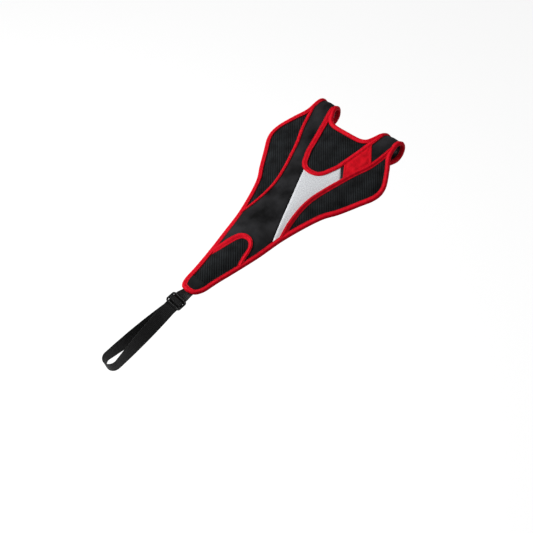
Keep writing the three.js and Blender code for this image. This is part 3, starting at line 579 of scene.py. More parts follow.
def foam_backed_jersey(name, dark, light):
    material, tree, vector, across, along = start_cloth(name)
    knit = woven(tree, across, along, JERSEY_PITCH, JERSEY_PITCH * 1.2)
    # Soft dents: one noise both bumps the cloth and paints shade into its colour, darker where the cloth is
    # lower
    dents_and_painted_shade = mottled(tree, vector, JERSEY_DENT_SIZE, 4.0, 0.35, 0.65)
    shallow = add_node(tree, "ShaderNodeMath", {0: knit, 1: 0.3}, operation="MULTIPLY")
    height = add_node(tree, "ShaderNodeMath", {0: shallow, 1: dents_and_painted_shade}, operation="ADD")
    sheen = {"Sheen Weight": 0.03, "Sheen Roughness": 0.45}
    return finish_material(material, dents_and_painted_shade, dark, light, height, 0.5,
                           {"Roughness": 0.72, "Specular IOR Level": 0.08, **sheen})


# Silver-coated polyester: pale grey and satin, with a fine grain of the weave under the coat.
# Real threads are about 0.3 mm apart, and are drawn coarser so that they show.
SILVER_GRAIN_SIZE = 2.0
SILVER_THREAD_PITCH = 1.2


def silver_coated_cloth():
    material, tree, vector, across, along = start_cloth("silver_coated_cloth")
    grain = mottled(tree, vector, SILVER_GRAIN_SIZE, 3.0, 0.22, 0.78)
    weave = woven(tree, across, along, SILVER_THREAD_PITCH, SILVER_THREAD_PITCH)
    shallow = add_node(tree, "ShaderNodeMath", {0: weave, 1: 0.4}, operation="MULTIPLY")
    height = add_node(tree, "ShaderNodeMath", {0: grain, 1: shallow}, operation="ADD")
    return finish_material(material, grain, 0xAEB0B4, 0xF2F4F7, height, 0.2,
                           {"Metallic": 0.05, "Roughness": 0.5, "Specular IOR Level": 0.35})


# Woven polyester tape: bright red, with cross ribs and a low silky sheen.
# Real ribs are about 0.7 mm apart, and are drawn twice as coarse so that they show.
TAPE_RIB_PITCH = 1.5
TAB_RIB_PITCH = 1.8
TAPE_WEAR_SIZE = 9.0


def woven_tape(name, dark, light, pitch):
    material, tree, vector, across, along = start_cloth(name)
    weave = woven(tree, across, along, pitch * 0.7, pitch)
    worn = mottled(tree, vector, TAPE_WEAR_SIZE)
    lifted = add_node(tree, "ShaderNodeMath", {0: weave, 1: 0.7}, operation="ADD")
    shade = add_node(tree, "ShaderNodeMath", {0: lifted, 1: worn}, operation="MULTIPLY")
    return finish_material(material, shade, dark, light, weave, 0.14,
                           {"Roughness": 0.6, "Specular IOR Level": 0.06})


# Polyester taffeta: a thin plain weave with a low shine, proofed on its inside, with soft creases. The colour
# is darker in the creases' hollows, which is painted shade.
# Real threads are about 0.2 mm apart, and are drawn coarser so that they show.
TAFFETA_THREAD_PITCH = 1.0
TAFFETA_CREASE_SIZE = 26.0


def proofed_taffeta():
    material, tree, vector, across, along = start_cloth("proofed_taffeta")
    weave = woven(tree, across, along, TAFFETA_THREAD_PITCH, TAFFETA_THREAD_PITCH)
    # One noise both bumps the creases and paints shade into the colour, darker in their hollows
    creases_and_painted_shade = mottled(tree, vector, TAFFETA_CREASE_SIZE, 5.0)
    shallow = add_node(tree, "ShaderNodeMath", {0: weave, 1: 0.12}, operation="MULTIPLY")
    height = add_node(tree, "ShaderNodeMath", {0: shallow, 1: creases_and_painted_shade}, operation="ADD")
    return finish_material(material, creases_and_painted_shade, 0x121416, 0x272A2D, height, 0.9,
                           {"Roughness": 0.45, "Specular IOR Level": 0.3})


# Polypropylene webbing: black, a little glossy on each thread, with a cord under every few threads
WEBBING_CORD_PITCH = 2.6
WEBBING_PICK_PITCH = 1.6
WEBBING_WEAR_SIZE = 14.0


def polypropylene_webbing():
    material, tree, vector, across, along = start_cloth("polypropylene_webbing")
    cords = ribs(tree, across, WEBBING_CORD_PITCH)
    picks = {0: cords, 1: ribs(tree, along, WEBBING_PICK_PITCH)}
    weave = add_node(tree, "ShaderNodeMath", picks, operation="MULTIPLY")
    threads = add_node(tree, "ShaderNodeMath", {0: weave, 1: cords}, operation="ADD")
    worn = mottled(tree, vector, WEBBING_WEAR_SIZE)
    shade = add_node(tree, "ShaderNodeMath", {0: threads, 1: worn}, operation="MULTIPLY")
    return finish_material(material, shade, 0x050505, 0x262627, weave, 0.25,
                           {"Roughness": 0.5, "Specular IOR Level": 0.2})


# Acetal, injection moulded: black and satin, with a faint moulded grain
ACETAL_GRAIN_SIZE = 0.4


def moulded_acetal():
    material, tree = start_material("moulded_acetal")
    in_object = add_node(tree, "ShaderNodeTexCoord", {}).outputs["Object"]
    grain = mottled(tree, in_object, ACETAL_GRAIN_SIZE * MM, 2.0)
    return finish_material(material, grain, 0x0C0C0C, 0x161616, grain, 0.02, {"Roughness": 0.28, "IOR": 1.48})


# Nylon hook tape and brushed loop tape: black, with rows of hooks or a felted pile
HOOK_PITCH = 1.6
PILE_SIZE = 1.2


def hook_tape():
    material, tree, _, across, along = start_cloth("nylon_hook_tape")
    hooks = woven(tree, across, along, HOOK_PITCH, HOOK_PITCH)
    return finish_material(material, hooks, 0x0A0A0A, 0x282828, hooks, 0.5,
                           {"Roughness": 0.6, "Specular IOR Level": 0.3})


def loop_tape():
    material, tree, vector, _, _ = start_cloth("nylon_loop_tape")
    pile = mottled(tree, vector, PILE_SIZE, 6.0)
    sheen = {"Sheen Weight": 0.1, "Sheen Roughness": 0.6}
    return finish_material(material, pile, 0x080808, 0x2A2A2A, pile, 0.7,
                           {"Roughness": 0.95, "Specular IOR Level": 0.15, **sheen})


# Spun polyester thread: twisted, with a slight sheen
THREAD_TWIST = 0.6


def sewing_thread(name, dark, light):
    material, tree, _, _, along = start_cloth(name)
    twist = ribs(tree, along, THREAD_TWIST)
    return finish_material(material, twist, dark, light, twist, 0, {"Roughness": 0.55})


MESH_CLOTH = warp_knit_mesh()
JERSEY = foam_backed_jersey("foam_backed_jersey", 0x060607, 0x2A2A2C)
PATCH_JERSEY = foam_backed_jersey("heavy_patch_jersey", 0x060607, 0x1C1D1E)
SILVER = silver_coated_cloth()
RED_TAPE = woven_tape("woven_polyester_tape", 0xB00216, 0xF4102A, TAPE_RIB_PITCH)
RED_LABEL = woven_tape("damask_woven_tab", 0x980210, 0xF61226, TAB_RIB_PITCH)
LINING = proofed_taffeta()
WEBBING = polypropylene_webbing()
ACETAL = moulded_acetal()
HOOKS = hook_tape()
LOOPS = loop_tape()
RED_THREAD = sewing_thread("red_polyester_thread", 0x9C0612, 0xD81422)
BLACK_THREAD = sewing_thread("black_polyester_thread", 0x0E0E0E, 0x303030)


# Cloth panels
SEAM_LINES = [SIDE_LINE, mirrored(SIDE_LINE), NECK_SEAM_LINE, TAIL_SEAM_LINE]
MESH_SUNK = 1.5
PANEL_EDGE_STEP = 2.4

# How the cloth is drawn down at a seam, and how far from the seam it is full again
SEAM_DIP = 0.3
PAD_RISE = 1.0
PAD_WIDTH = 13
SUNK_PAD_RISE = 0.7
UNDER_BINDING = 2
UNDER_TAPE = 1
INSET_SEAM_DIP = 0.7
INSET_SEAM_WIDTH = 2.2
CLOSED_OUTLINE = closed_line(WHOLE_OUTLINE)


def padded_top(flat, extra_lines=(), sunk=0.0):
    """Height of the cloth: full between the seams, and drawn down to each of them."""
    seam = np.full(len(flat), np.inf)
    for line in SEAM_LINES:
        seam = np.minimum(seam, distance_to(flat, line))
    edge = distance_to(flat, CLOSED_OUTLINE) - BINDING_WIDTH + UNDER_BINDING
    drawn = np.minimum(seam - TAPE_WIDTH / 2 + UNDER_TAPE, edge)
    rise = PAD_RISE + sunk * SUNK_PAD_RISE
    height = CLOTH_TOP - SEAM_DIP - sunk + rise * smoothstep(drawn, 0, PAD_WIDTH)
    for line in extra_lines:
        height = height - INSET_SEAM_DIP * (1 - smoothstep(distance_to(flat, line), 0, INSET_SEAM_WIDTH))
    return height


def clipped(shape):
    """The part of a pattern shape that lies inside the cloth's outline, as closed outlines."""
    shape = anticlockwise(np.asarray(shape, float))
    both = np.vstack([anticlockwise(CLOTH_OUTLINE), shape])
    n, m = len(CLOTH_OUTLINE), len(shape)
    faces = [list(range(n)), list(range(n, n + m))]
    points, _, triangles, _, _, sources = delaunay_2d_cdt([Vector(p) for p in both], [], faces, 1, 1e-5)
    wanted = [f for f, origin in zip(triangles, sources) if 0 in origin and 1 in origin]
    uses = {}
    for face in wanted:
        for a, b in zip(face, [*face[1:], face[0]]):
            if (b, a) in uses:
                del uses[(b, a)]
            else:
                uses[(a, b)] = True
    following = dict(uses.keys())
    loops = []
    while following:
        start, at = following.popitem()
        loop = [start]
        while at != start:
            loop.append(at)
            at = following.pop(at)
        loops.append(np.array([tuple(points[i]) for i in loop]))
    return max(loops, key=flat_area)


def cloth_panel(name, node, shape, material, slot, extra_lines=()):
    """A panel of cloth, cut to its shape inside the outline."""
    outline = evenly(closed_line(clipped(shape)), PANEL_EDGE_STEP)[:-1]
    sunk = MESH_SUNK if material is MESH_CLOTH else 0.0
    points, faces, uv = cloth_solid(outline, CLOTH_LOW, lambda flat: padded_top(flat, extra_lines, sunk))
    made = add_piece(name, points, faces, uv, material, slot, [node])
    flat_area(outline) * MM**2


# Past the outline at the sides and at the arms' ends
FAR = 220.0
AHEAD = ARM_TIP - 20


def cut_line(line, straight):
    """The two parts of a line that a straight line cuts, each with the crossing point."""
    start, along = straight[0], straight[1] - straight[0]
    side = (line[:, 0] - start[0]) * along[1] - (line[:, 1] - start[1]) * along[0]
    i = np.flatnonzero(np.sign(side[1:]) != np.sign(side[:-1]))[0]
    crossing = line[i] + (line[i + 1] - line[i]) * side[i] / (side[i] - side[i + 1])
    return np.vstack([line[:i + 1], crossing]), np.vstack([crossing, line[i + 1:]])


INSET_LEFT_LINE = np.array(INSET_LEFT, float)
INSET_END_LINE = np.array(INSET_END, float)
NECK_LEFT_OF_INSET, NECK_REST = cut_line(NECK_SEAM_LINE, INSET_LEFT_LINE)
NECK_AT_INSET, NECK_AHEAD_OF_INSET = cut_line(NECK_REST, INSET_END_LINE)
SIDE_AHEAD_OF_INSET, SIDE_AT_INSET = cut_line(SIDE_LINE, INSET_END_LINE)
INSET_LEFT_OUT = INSET_LEFT_LINE[1] + (INSET_LEFT_LINE[1] - INSET_LEFT_LINE[0]) * 0.1


def wing_shape():
    return np.vstack([SIDE_LINE, [(FAR, SIDE_LINE[-1][1]), (FAR, SIDE_LINE[0][1])]])


def neck_shape():
    line = NECK_SEAM_LINE[NECK_SEAM_LINE[:, 1] > NECK_AT + 2]
    way_out = np.array([(ARM_INNER - 7, NECK_AT - 13), (ARM_INNER - 17, NECK_AT - 20)])
    return np.vstack([line, way_out, mirrored(way_out)[::-1]])


def tail_shape():
    line = TAIL_SEAM_LINE
    end = GUARD_LENGTH + 20
    return np.vstack([line, [(FAR, line[-1][1]), (FAR, end), (-FAR, end), (-FAR, line[0][1])]])


def inset_shape():
    return np.vstack([NECK_AT_INSET, SIDE_AT_INSET, [(FAR, SIDE_LINE[-1][1]), (FAR, INSET_LEFT_OUT[1])],
                      [INSET_LEFT_OUT]])


def centre_shape():
    """Smooth cloth behind the neck seam, left of the inset and between the side seams, with the left arm."""
    left = mirrored(SIDE_LINE)
    left_arm = [(NECK_SEAM_LINE[0][0], AHEAD), (-FAR, AHEAD), (-FAR, left[0][1])]
    behind_inset = [(FAR, TAIL_SEAM_LINE[-1][1]), (FAR, INSET_LEFT_OUT[1]), INSET_LEFT_OUT]
    return np.vstack([NECK_LEFT_OF_INSET[::-1], left_arm, left, [(-FAR, left[-1][1])],
                      [(-FAR, TAIL_SEAM_LINE[0][1])], TAIL_SEAM_LINE, behind_inset])


def right_arm_shape():
    arm = [(NECK_SEAM_LINE[-1][0], AHEAD), (FAR, AHEAD), (FAR, SIDE_LINE[0][1])]
    return np.vstack([NECK_AHEAD_OF_INSET, arm, SIDE_AHEAD_OF_INSET])


cloth_panel("right_wing_cloth", "right_wing_mesh", wing_shape(), MESH_CLOTH, "black_mesh")
cloth_panel("left_wing_cloth", "left_wing_mesh", mirrored(wing_shape())[::-1], MESH_CLOTH, "black_mesh")
cloth_panel("neck_cloth", "neck_mesh", neck_shape(), MESH_CLOTH, "black_mesh")
cloth_panel("tail_cloth", "tail_mesh", tail_shape(), MESH_CLOTH, "black_mesh")
cloth_panel("inset_cloth", "silver_inset", inset_shape(), SILVER, "silver_cloth",
            [INSET_LEFT_LINE, INSET_END_LINE])
cloth_panel("centre_cloth", "centre_panel", centre_shape(), JERSEY, "smooth_black", [INSET_LEFT_LINE])
cloth_panel("right_arm_cloth", "right_arm_panel", right_arm_shape(), JERSEY, "smooth_black", [INSET_END_LINE])


# Lining under all of it
LINING_INSET = 2.2
LINING_SPACING = 5.0


def lining_top(flat):
    return np.full(len(flat), LINING_TOP)


lining_outline = offset_line(WHOLE_OUTLINE, -LINING_INSET, closed=True)
lining = add_piece("lining", *cloth_solid(lining_outline, 0.0, lining_top, LINING_SPACING), LINING, "lining",
                   ["backing_lining"])


# Edge binding: tape folded over the edge, fuller along its middle, with a stitched dip near its inner edge.
# A section point is its distance out from the edge, and its height.
BINDING_SECTION = [
    (-8.9, 2.0), (-8.9, 3.7), (-8.6, 4.5), (-8.1, 4.6), (-7.5, 4.2), (-6.8, 4.6), (-5.7, 5.3), (-4.3, 5.8),
    (-2.9, 5.7), (-1.6, 5.0), (-0.7, 3.9), (-0.1, 2.5), (0.1, 1.2), (-0.2, -0.2), (-0.9, -1.1), (-2.2, -1.6),
    (-4.4, -1.7), (-6.6, -1.4), (-7.5, -1.1), (-8.2, -1.4), (-8.7, -1.2), (-8.9, -0.8), (-8.9, -0.1),
    (-1.6, -0.1), (-1.4, 2.0),
]


BINDING_SMOOTHING = 3
BINDING_PUCKER = 0.06
BINDING_SHIFTS = (250, 340)
TAIL_WIDER = 0.06
TAIL_LEFTWARDS = 0.19


def binding_widths(line):
    """At the tail the tape is folded unevenly: more of it is on top on the left than on the right."""
    x, t = line.T
    return 1 + smoothstep(t, *BINDING_SHIFTS) * (TAIL_WIDER - TAIL_LEFTWARDS * np.clip(x / 20, -1, 1))


folded_tape = surface_sweep(WHOLE_OUTLINE, BINDING_SECTION, True, BINDING_SMOOTHING, BINDING_PUCKER,
                            binding_widths(WHOLE_OUTLINE))
binding = add_piece("binding", *folded_tape, RED_TAPE, "red_tape", ["edge_binding"])


# Seam tapes: each slants from the padded cloth to the mesh, and is stitched in a groove along both edges.
# A section point is its share of the half width, towards the mesh, and its height.
TAPE_SECTION = [
    (-1.0, 2.6), (-1.0, 4.6), (-0.94, 5.2), (-0.84, 5.4), (-0.74, 5.1), (-0.66, 4.5), (-0.56, 5.1),
    (-0.4, 5.8), (-0.2, 5.75), (0.06, 4.9), (0.32, 3.8), (0.54, 2.9), (0.66, 2.3), (0.76, 2.7), (0.9, 2.9),
    (1.0, 2.4), (1.0, 1.2),
]
TAPE_CREST = 5.8
TAPE_PUCKER = 0.08
PADDED_GROOVE, PADDED_GROOVE_TOP = -0.66, 4.65
MESH_GROOVE, MESH_GROOVE_TOP = 0.66, 2.45


def between_bindings(line, reach=BINDING_WIDTH / 2):
    """The middle of a seam, without its ends that are caught under the binding."""
    caught = np.flatnonzero(distance_to(line, CLOSED_OUTLINE) < reach)
    middle = len(line) // 2
    return line[caught[caught < middle].max(initial=-1) + 1:caught[caught > middle].min(initial=len(line))]


# Each seam's tape with its node, its line, the side of the line that its mesh is on, its width at both ends,
# how steeply it slants, and how far from the guard's edge its ends are caught under the binding
SEAMS = [
    ("right_tape", "right_seam_tape", SIDE_LINE, -1, (9.0, 9.0), 1.0, 3.0),
    ("left_tape", "left_seam_tape", mirrored(SIDE_LINE), 1, (7.6, 7.6), 1.0, 3.0),
    ("neck_tape", "neck_seam_tape", NECK_SEAM_LINE, -1, (10.0, 8.4), 0.5, 3.0),
    ("tail_tape", "tail_seam_tape", TAIL_SEAM_LINE, 1, (12.4, 7.4), 1.0, 5.2),
]


def tape_halves(line, ends):
    """Half of the tape's width at each point of its line."""
    share = smoothstep(np.linspace(0, 1, len(line)), 0.3, 0.7)
    return (ends[0] + (ends[1] - ends[0]) * share) / 2


def slanted(share, height, slant):
    """Height of a point of the tape, nearer the crest where the tape slants less."""
    return height if share < 0 or height < 2 else TAPE_CREST - (TAPE_CREST - height) * slant


def seam_tape(name, node, line, mesh_side, ends, slant, caught_at):
    run = between_bindings(line, caught_at)
    section = [(mesh_side * share, slanted(share, height, slant)) for share, height in TAPE_SECTION]
    swept = surface_sweep(run, section, False, 0, TAPE_PUCKER, tape_halves(run, ends))
    return add_piece(name, *swept, RED_TAPE, "red_tape", [node])


tapes = [seam_tape(*seam) for seam in SEAMS]


# Woven tab between the neck seam and the right side seam, left bare.
# A crease is its wave over x and over t in radians a millimetre, and its height.
TAB_CREASES = [(0.30, 0.06, 0.5), (-0.10, 0.26, 0.3)]
TAB_THICKNESS = 1.0
TAB_EDGE_RISE = 0.35
TAB_EDGE_AT = 1.4
TAB_EDGE_WIDTH = 0.8
TAB_CREASED_FROM = (4.5, 10)
TAB_CORNERS = np.array([*LABEL_START, *LABEL_END[::-1], LABEL_START[0]], float)
SMALL_EDGE_STEP = 1.5
SMALL_SPACING = 1.6


def tab_height(flat):
    """Height of the tab: a raised edge, and shallow creases that die out at its sewn edge."""
    from_edge = distance_to(flat, TAB_CORNERS)
    raised = TAB_EDGE_RISE * np.exp(-((from_edge - TAB_EDGE_AT) / TAB_EDGE_WIDTH) ** 2)
    x, t = flat.T
    creased = sum(height * (1 + np.sin(over_x * x + over_t * t)) for over_x, over_t, height in TAB_CREASES)
    return CLOTH_TOP + TAB_THICKNESS + raised + creased * smoothstep(from_edge, *TAB_CREASED_FROM)


tab_shape = evenly(TAB_CORNERS, SMALL_EDGE_STEP)[:-1]
tab = add_piece("woven_tab", *cloth_solid(tab_shape, CLOTH_TOP, tab_height, SMALL_SPACING), RED_LABEL,
                "red_label", ["label_tab"])


# Reinforcement at the tail, over the sewn end of the strap
PATCH_FROM = GUARD_LENGTH - 34
PATCH_TO = GUARD_LENGTH - 6
PATCH_REACH = 40
PATCH_DIP = 0.4
PATCH_RISE = 1.2
PATCH_SLOPE = (BINDING_WIDTH - 2, BINDING_WIDTH + 2)
PATCH_EDGE = (PATCH_FROM - 0.1, PATCH_FROM + 1.2)
patch_ends = [(-PATCH_REACH, PATCH_FROM), (PATCH_REACH, PATCH_FROM), (PATCH_REACH, PATCH_TO),
              (-PATCH_REACH, PATCH_TO)]
patch_shape = evenly(closed_line(clipped(patch_ends)), SMALL_SPACING)[:-1]


def patch_top(flat):
    """Height of the reinforcement, which goes under the binding at its sides."""
    clear = smoothstep(distance_to(flat, CLOSED_OUTLINE), *PATCH_SLOPE)
    started = smoothstep(flat[:, 1], *PATCH_EDGE)
    return CLOTH_TOP - PATCH_DIP + PATCH_RISE * clear * started


reinforcement = add_piece("tail_patch", *cloth_solid(patch_shape, CLOTH_LOW, patch_top, 2.0), PATCH_JERSEY,
                          "smooth_black", ["tail_reinforcement"])


# Stitches: short threads that dip into the cloth at both ends
STITCH_PITCH = 3.4
STITCH_LENGTH = 2.7
STITCH_BEND = np.array([(0, -0.45), (0.15, 0.1), (0.5, 0.2), (0.85, 0.1), (1, -0.45)])
THREAD_RADIUS = 0.24
THREAD_CORNERS = 6

# How far in from the guard's edge the binding's stitches lie and the other rows end, and how far the
# lining's rows lie from their seam
BINDING_ROW = 7.5
BINDING_ROW_TOP = 4.3
BINDING_ROW_UNDER = -1.15
TAPE_ROW_END = 8.0
LINING_ROW_END = 12
LINING_ROW_HALF = 2.9
LINING_ROW_UNDER = -0.05


def stitch_rows(name, rows, material, slot):
    """Each row is a pattern line, and the height of the cloth that it lies on, negative under the guard."""
    shares, lift = STITCH_BEND.T
    corners = THREAD_CORNERS
    angles = np.arange(corners) * 2 * math.pi / corners
    cosines, sines = (wave(angles)[None, :, None] for wave in (np.cos, np.sin))
    points, faces, uv = [], [], []
    for line, height in rows:
        side = -1 if height < 0.5 else 1
        run = run_along(line)
        for start in np.arange(0.5, run[-1] - STITCH_LENGTH, STITCH_PITCH):
            at = start + shares * STITCH_LENGTH
            x, t = (np.interp(at, run, line[:, k]) for k in (0, 1))
            centre = place(x, t, height + side * lift)
            normal = surface_normal(x, t)
            along = np.gradient(centre, axis=0)
            across = np.cross(along, normal)
            across /= np.linalg.norm(across, axis=1, keepdims=True)
            ring = across[:, None] * cosines + normal[:, None] * sines
            base = len(points) * len(shares) * corners
            points.append((centre[:, None] + THREAD_RADIUS * ring).reshape(-1, 3))
            uv.append(np.stack([np.tile(angles, len(shares)), np.repeat(at, corners)], 1))
            faces += [tuple(base + i for i in face) for face in sweep_faces(len(shares), corners, False)]
    return add_piece(name, np.vstack(points), faces, np.vstack(uv), material, slot)


def tape_row(line, mesh_side, ends, share):
    """The line of stitches at a share of the tape's half width from its middle."""
    line = between_bindings(line, TAPE_ROW_END)
    return offset_line(line, (mesh_side * share * tape_halves(line, ends))[:, None])


row_depth = BINDING_ROW * binding_widths(WHOLE_OUTLINE)[:, None]
binding_row = closed_line(WHOLE_OUTLINE - line_normals(WHOLE_OUTLINE, True, BINDING_SMOOTHING) * row_depth)
lining_rows = [offset_line(between_bindings(line, LINING_ROW_END), side * LINING_ROW_HALF)
               for line in SEAM_LINES for side in (-1, 1)]
stitches = [
    stitch_rows("binding_stitches", [(binding_row, BINDING_ROW_TOP), (binding_row, BINDING_ROW_UNDER)],
                RED_THREAD, "red_tape"),
    stitch_rows("tape_stitches",
                [(tape_row(line, mesh_side, ends, share), slanted(share, height, slant))
                 for _, _, line, mesh_side, ends, slant, _ in SEAMS
                 for share, height in ((PADDED_GROOVE, PADDED_GROOVE_TOP), (MESH_GROOVE, MESH_GROOVE_TOP))],
                RED_THREAD, "red_tape"),
    stitch_rows("lining_stitches", [(row, LINING_ROW_UNDER) for row in lining_rows], BLACK_THREAD, "lining"),
]


# Strap
STRAP_LOOP_AXIS = np.array([0, -math.sin(STRAP_LOOP_LEAN), math.cos(STRAP_LOOP_LEAN)])
STRAP_LOOP_BACK = np.array([0, -math.cos(STRAP_LOOP_LEAN), -math.sin(STRAP_LOOP_LEAN)])
X_AXIS = np.array([1.0, 0, 0])
WEBBING_PITCH = WEBBING_THICKNESS + GAP
RUNNING_UNDER = -(SLIDER_THICKNESS / 2 + GAP + WEBBING_THICKNESS / 2)
STRAP_START_HEIGHT = -(LAYER_GAP + BINDING_THICKNESS + GAP + WEBBING_THICKNESS / 2)
STRAP_SINKS = (GUARD_LENGTH - 30, GUARD_LENGTH - 20)
WEBBING_RIB_HEIGHT = 0.1
SELVEDGE = 0.5
SELVEDGE_HALF = 0.3


def under_cloth(t, height):
    """The middle of webbing that lies under the cloth, clear of the cloth's droop at its edges."""
    towards_tail = max(t / GUARD_LENGTH, 0) ** 3
    droop = WING_DROOP + (TAIL_DROOP - WING_DROOP) * towards_tail
    return place(0.0, t, height - droop * (WEBBING_WIDTH / 2 / spread_at(t)) ** 2)


STRAP_EXIT = under_cloth(GUARD_LENGTH, STRAP_START_HEIGHT)
STRAP_DIRECTION = (STRAP_LOOP_CENTRE - STRAP_EXIT) / np.linalg.norm(STRAP_LOOP_CENTRE - STRAP_EXIT)
STRAP_UP = np.array([0, STRAP_DIRECTION[2], -STRAP_DIRECTION[1]])
SLIDER_LINE_START = STRAP_EXIT - STRAP_UP * RUNNING_UNDER


def twisted(twist, up=STRAP_UP):
    """The direction across webbing that has turned by twist, and its face's normal."""
    c, s = math.cos(twist), math.sin(twist)
    return X_AXIS * c - up * s, X_AXIS * s + up * c


def slider_point(along, height):
    return SLIDER_LINE_START + STRAP_DIRECTION * (SLIDER_AT + along) + twisted(SLIDER_TWIST)[1] * height


def rounded_path(points, radius):
    points = np.array(points, float)
    line = [points[0]]
    for before, here, after in zip(points, points[1:], points[2:]):
        start = here + (before - here) / np.linalg.norm(before - here) * radius
        end = here + (after - here) / np.linalg.norm(after - here) * radius
        line += [(1 - s) ** 2 * start + 2 * s * (1 - s) * here + s * s * end for s in np.linspace(0, 1, 6)]
    return np.array([*line, points[-1]])


def slider_frames(corners):
    across = twisted(SLIDER_TWIST)[0]
    return [(slider_point(*p), across) for p in rounded_path(corners, FOLD_RADIUS)]


def strap_frames():
    """Middle points of the webbing with the direction across it, from its end under the tail."""
    sewn_under = []
    for t in np.linspace(GUARD_LENGTH - SEWN_LENGTH, GUARD_LENGTH, 8):
        clear = smoothstep(t, *STRAP_SINKS)
        low = -GAP - WEBBING_THICKNESS / 2
        sewn_under.append((under_cloth(t, low + (STRAP_START_HEIGHT - low) * clear), X_AXIS))
    slot = SLIDER_CENTRE_BAR / 2 + GAP + WEBBING_THICKNESS / 2
    outer, end = slot + WEBBING_PITCH, SLIDER_LENGTH / 2 + 2
    over = -RUNNING_UNDER + WEBBING_PITCH
    running = slider_frames([(-end, RUNNING_UNDER), (-outer, RUNNING_UNDER), (-outer, over), (outer, over),
                             (outer, RUNNING_UNDER), (end, RUNNING_UNDER)])
    fold = RUNNING_UNDER - WEBBING_PITCH
    bottom = fold - WEBBING_PITCH
    sewn = slider_frames([(end, bottom), (-slot, bottom), (-slot, -RUNNING_UNDER), (slot, -RUNNING_UNDER),
                          (slot, fold), (slot + FOLD_LENGTH, fold)])
    radius = STRAP_LOOP_INSIDE / 2 + STRAP_CLEARANCE + WEBBING_THICKNESS / 2
    turn_back = [(STRAP_LOOP_CENTRE + (X_AXIS * math.cos(a) + STRAP_LOOP_BACK * math.sin(a)) * radius,
                  -STRAP_LOOP_AXIS) for a in np.linspace(0, math.pi, 21)]

    def branch(start, side):
        to = STRAP_LOOP_CENTRE + X_AXIS * side * radius
        frames = []
        for s in np.arange(1, 20) / 20:
            up = STRAP_UP * (1 - s) + STRAP_LOOP_AXIS * s
            turn = SLIDER_TWIST + (math.pi / 2 - SLIDER_TWIST) * s
            frames.append((start + (to - start) * s, twisted(turn, up / np.linalg.norm(up))[0]))
        return frames

    there, back = branch(running[-1][0], 1), branch(sewn[0][0], -1)[::-1]
    return [*sewn_under, *running, *there, *turn_back, *back, *sewn]


def webbing_section():
    """Cord-like ribs along both faces, and rounded selvedges."""
    half, thick = WEBBING_WIDTH / 2, WEBBING_THICKNESS / 2
    across = np.linspace(-half + SELVEDGE, half - SELVEDGE, 61)
    top = thick + WEBBING_RIB_HEIGHT * (np.sin(across * 2 * math.pi / WEBBING_CORD_PITCH) - 1)
    upper = np.stack([across, top], 1)
    lower = np.stack([across[::-1], -top[::-1]], 1)
    right_edge = [(half, SELVEDGE_HALF), (half, -SELVEDGE_HALF)]
    left_edge = [(-half, -SELVEDGE_HALF), (-half, SELVEDGE_HALF)]
    return np.vstack([upper, right_edge, lower, left_edge])


WEBBING_STEP = 1.2


def webbing_piece():
    frames = strap_frames()
    line = np.array([p for p, _ in frames])
    across = np.array([a for _, a in frames])
    keep = np.concatenate([[True], np.linalg.norm(np.diff(line, axis=0), axis=1) > 0.05])
    line, across = line[keep], across[keep]
    run = run_along(line)
    at = np.linspace(0, run[-1], int(run[-1] / WEBBING_STEP))
    line, across = (np.stack([np.interp(at, run, v[:, k]) for k in range(3)], 1) for v in (line, across))
    along = np.gradient(line, axis=0)
    along /= np.linalg.norm(along, axis=1, keepdims=True)
    side = across - (across * along).sum(1, keepdims=True) * along
    side /= np.linalg.norm(side, axis=1, keepdims=True)
    face = np.cross(along, side)
    section = webbing_section()
    points = line[:, None] + side[:, None] * section[None, :, :1] + face[:, None] * section[None, :, 1:]
    uv = np.stack([np.tile(section[:, 0], len(at)), np.repeat(at, len(section))], 1)
    made = add_piece("webbing", points.reshape(-1, 3), sweep_faces(len(at), len(section), False), uv, WEBBING,
                     "webbing", ["strap_webbing"])


webbing_piece()


# Slider: a rounded frame of round bars with a bar across it, moulded in one
CENTRE_BAR_THICKNESS = SLIDER_THICKNESS - 0.4
SQUARENESS = 0.8
MOULD_DETAIL = 0.35


def rounded_section(width, thickness, corners=16):
    """Points round an oval bar that is a little squarer than an ellipse."""
    angles = np.arange(corners) * 2 * math.pi / corners
    halves = ((np.cos(angles), width / 2), (np.sin(angles), thickness / 2))
    return np.stack([np.sign(wave) * np.abs(wave) ** SQUARENESS * half for wave, half in halves], 1)


def frame_points():
    """Points and faces of the slider's outer frame, lying flat round its middle."""
    radius = SLIDER_CORNER - SLIDER_BAR / 2
    half_x = (SLIDER_WIDTH - SLIDER_BAR) / 2 - radius
    half_y = (SLIDER_LENGTH - SLIDER_BAR) / 2 - radius
    section = rounded_section(SLIDER_BAR, SLIDER_THICKNESS)
    points = []
    for quarter, (sx, sy) in enumerate(((1, 1), (-1, 1), (-1, -1), (1, -1))):
        for a in (quarter + np.linspace(0, 1, 9)) * math.pi / 2:
            out = np.array([math.cos(a), math.sin(a)])
            at = np.array([sx * half_x, sy * half_y]) + out * radius
            points.append(np.hstack([at + section[:, :1] * out, section[:, 1:]]))
    return np.vstack(points), sweep_faces(len(points), len(section), True)


def centre_bar_points():
    reach = (SLIDER_WIDTH - SLIDER_BAR) / 2
    section = rounded_section(SLIDER_CENTRE_BAR, CENTRE_BAR_THICKNESS)
    points = [np.hstack([np.full((len(section), 1), x), section]) for x in (-reach, reach)]
    return np.vstack(points), sweep_faces(2, len(section), False)


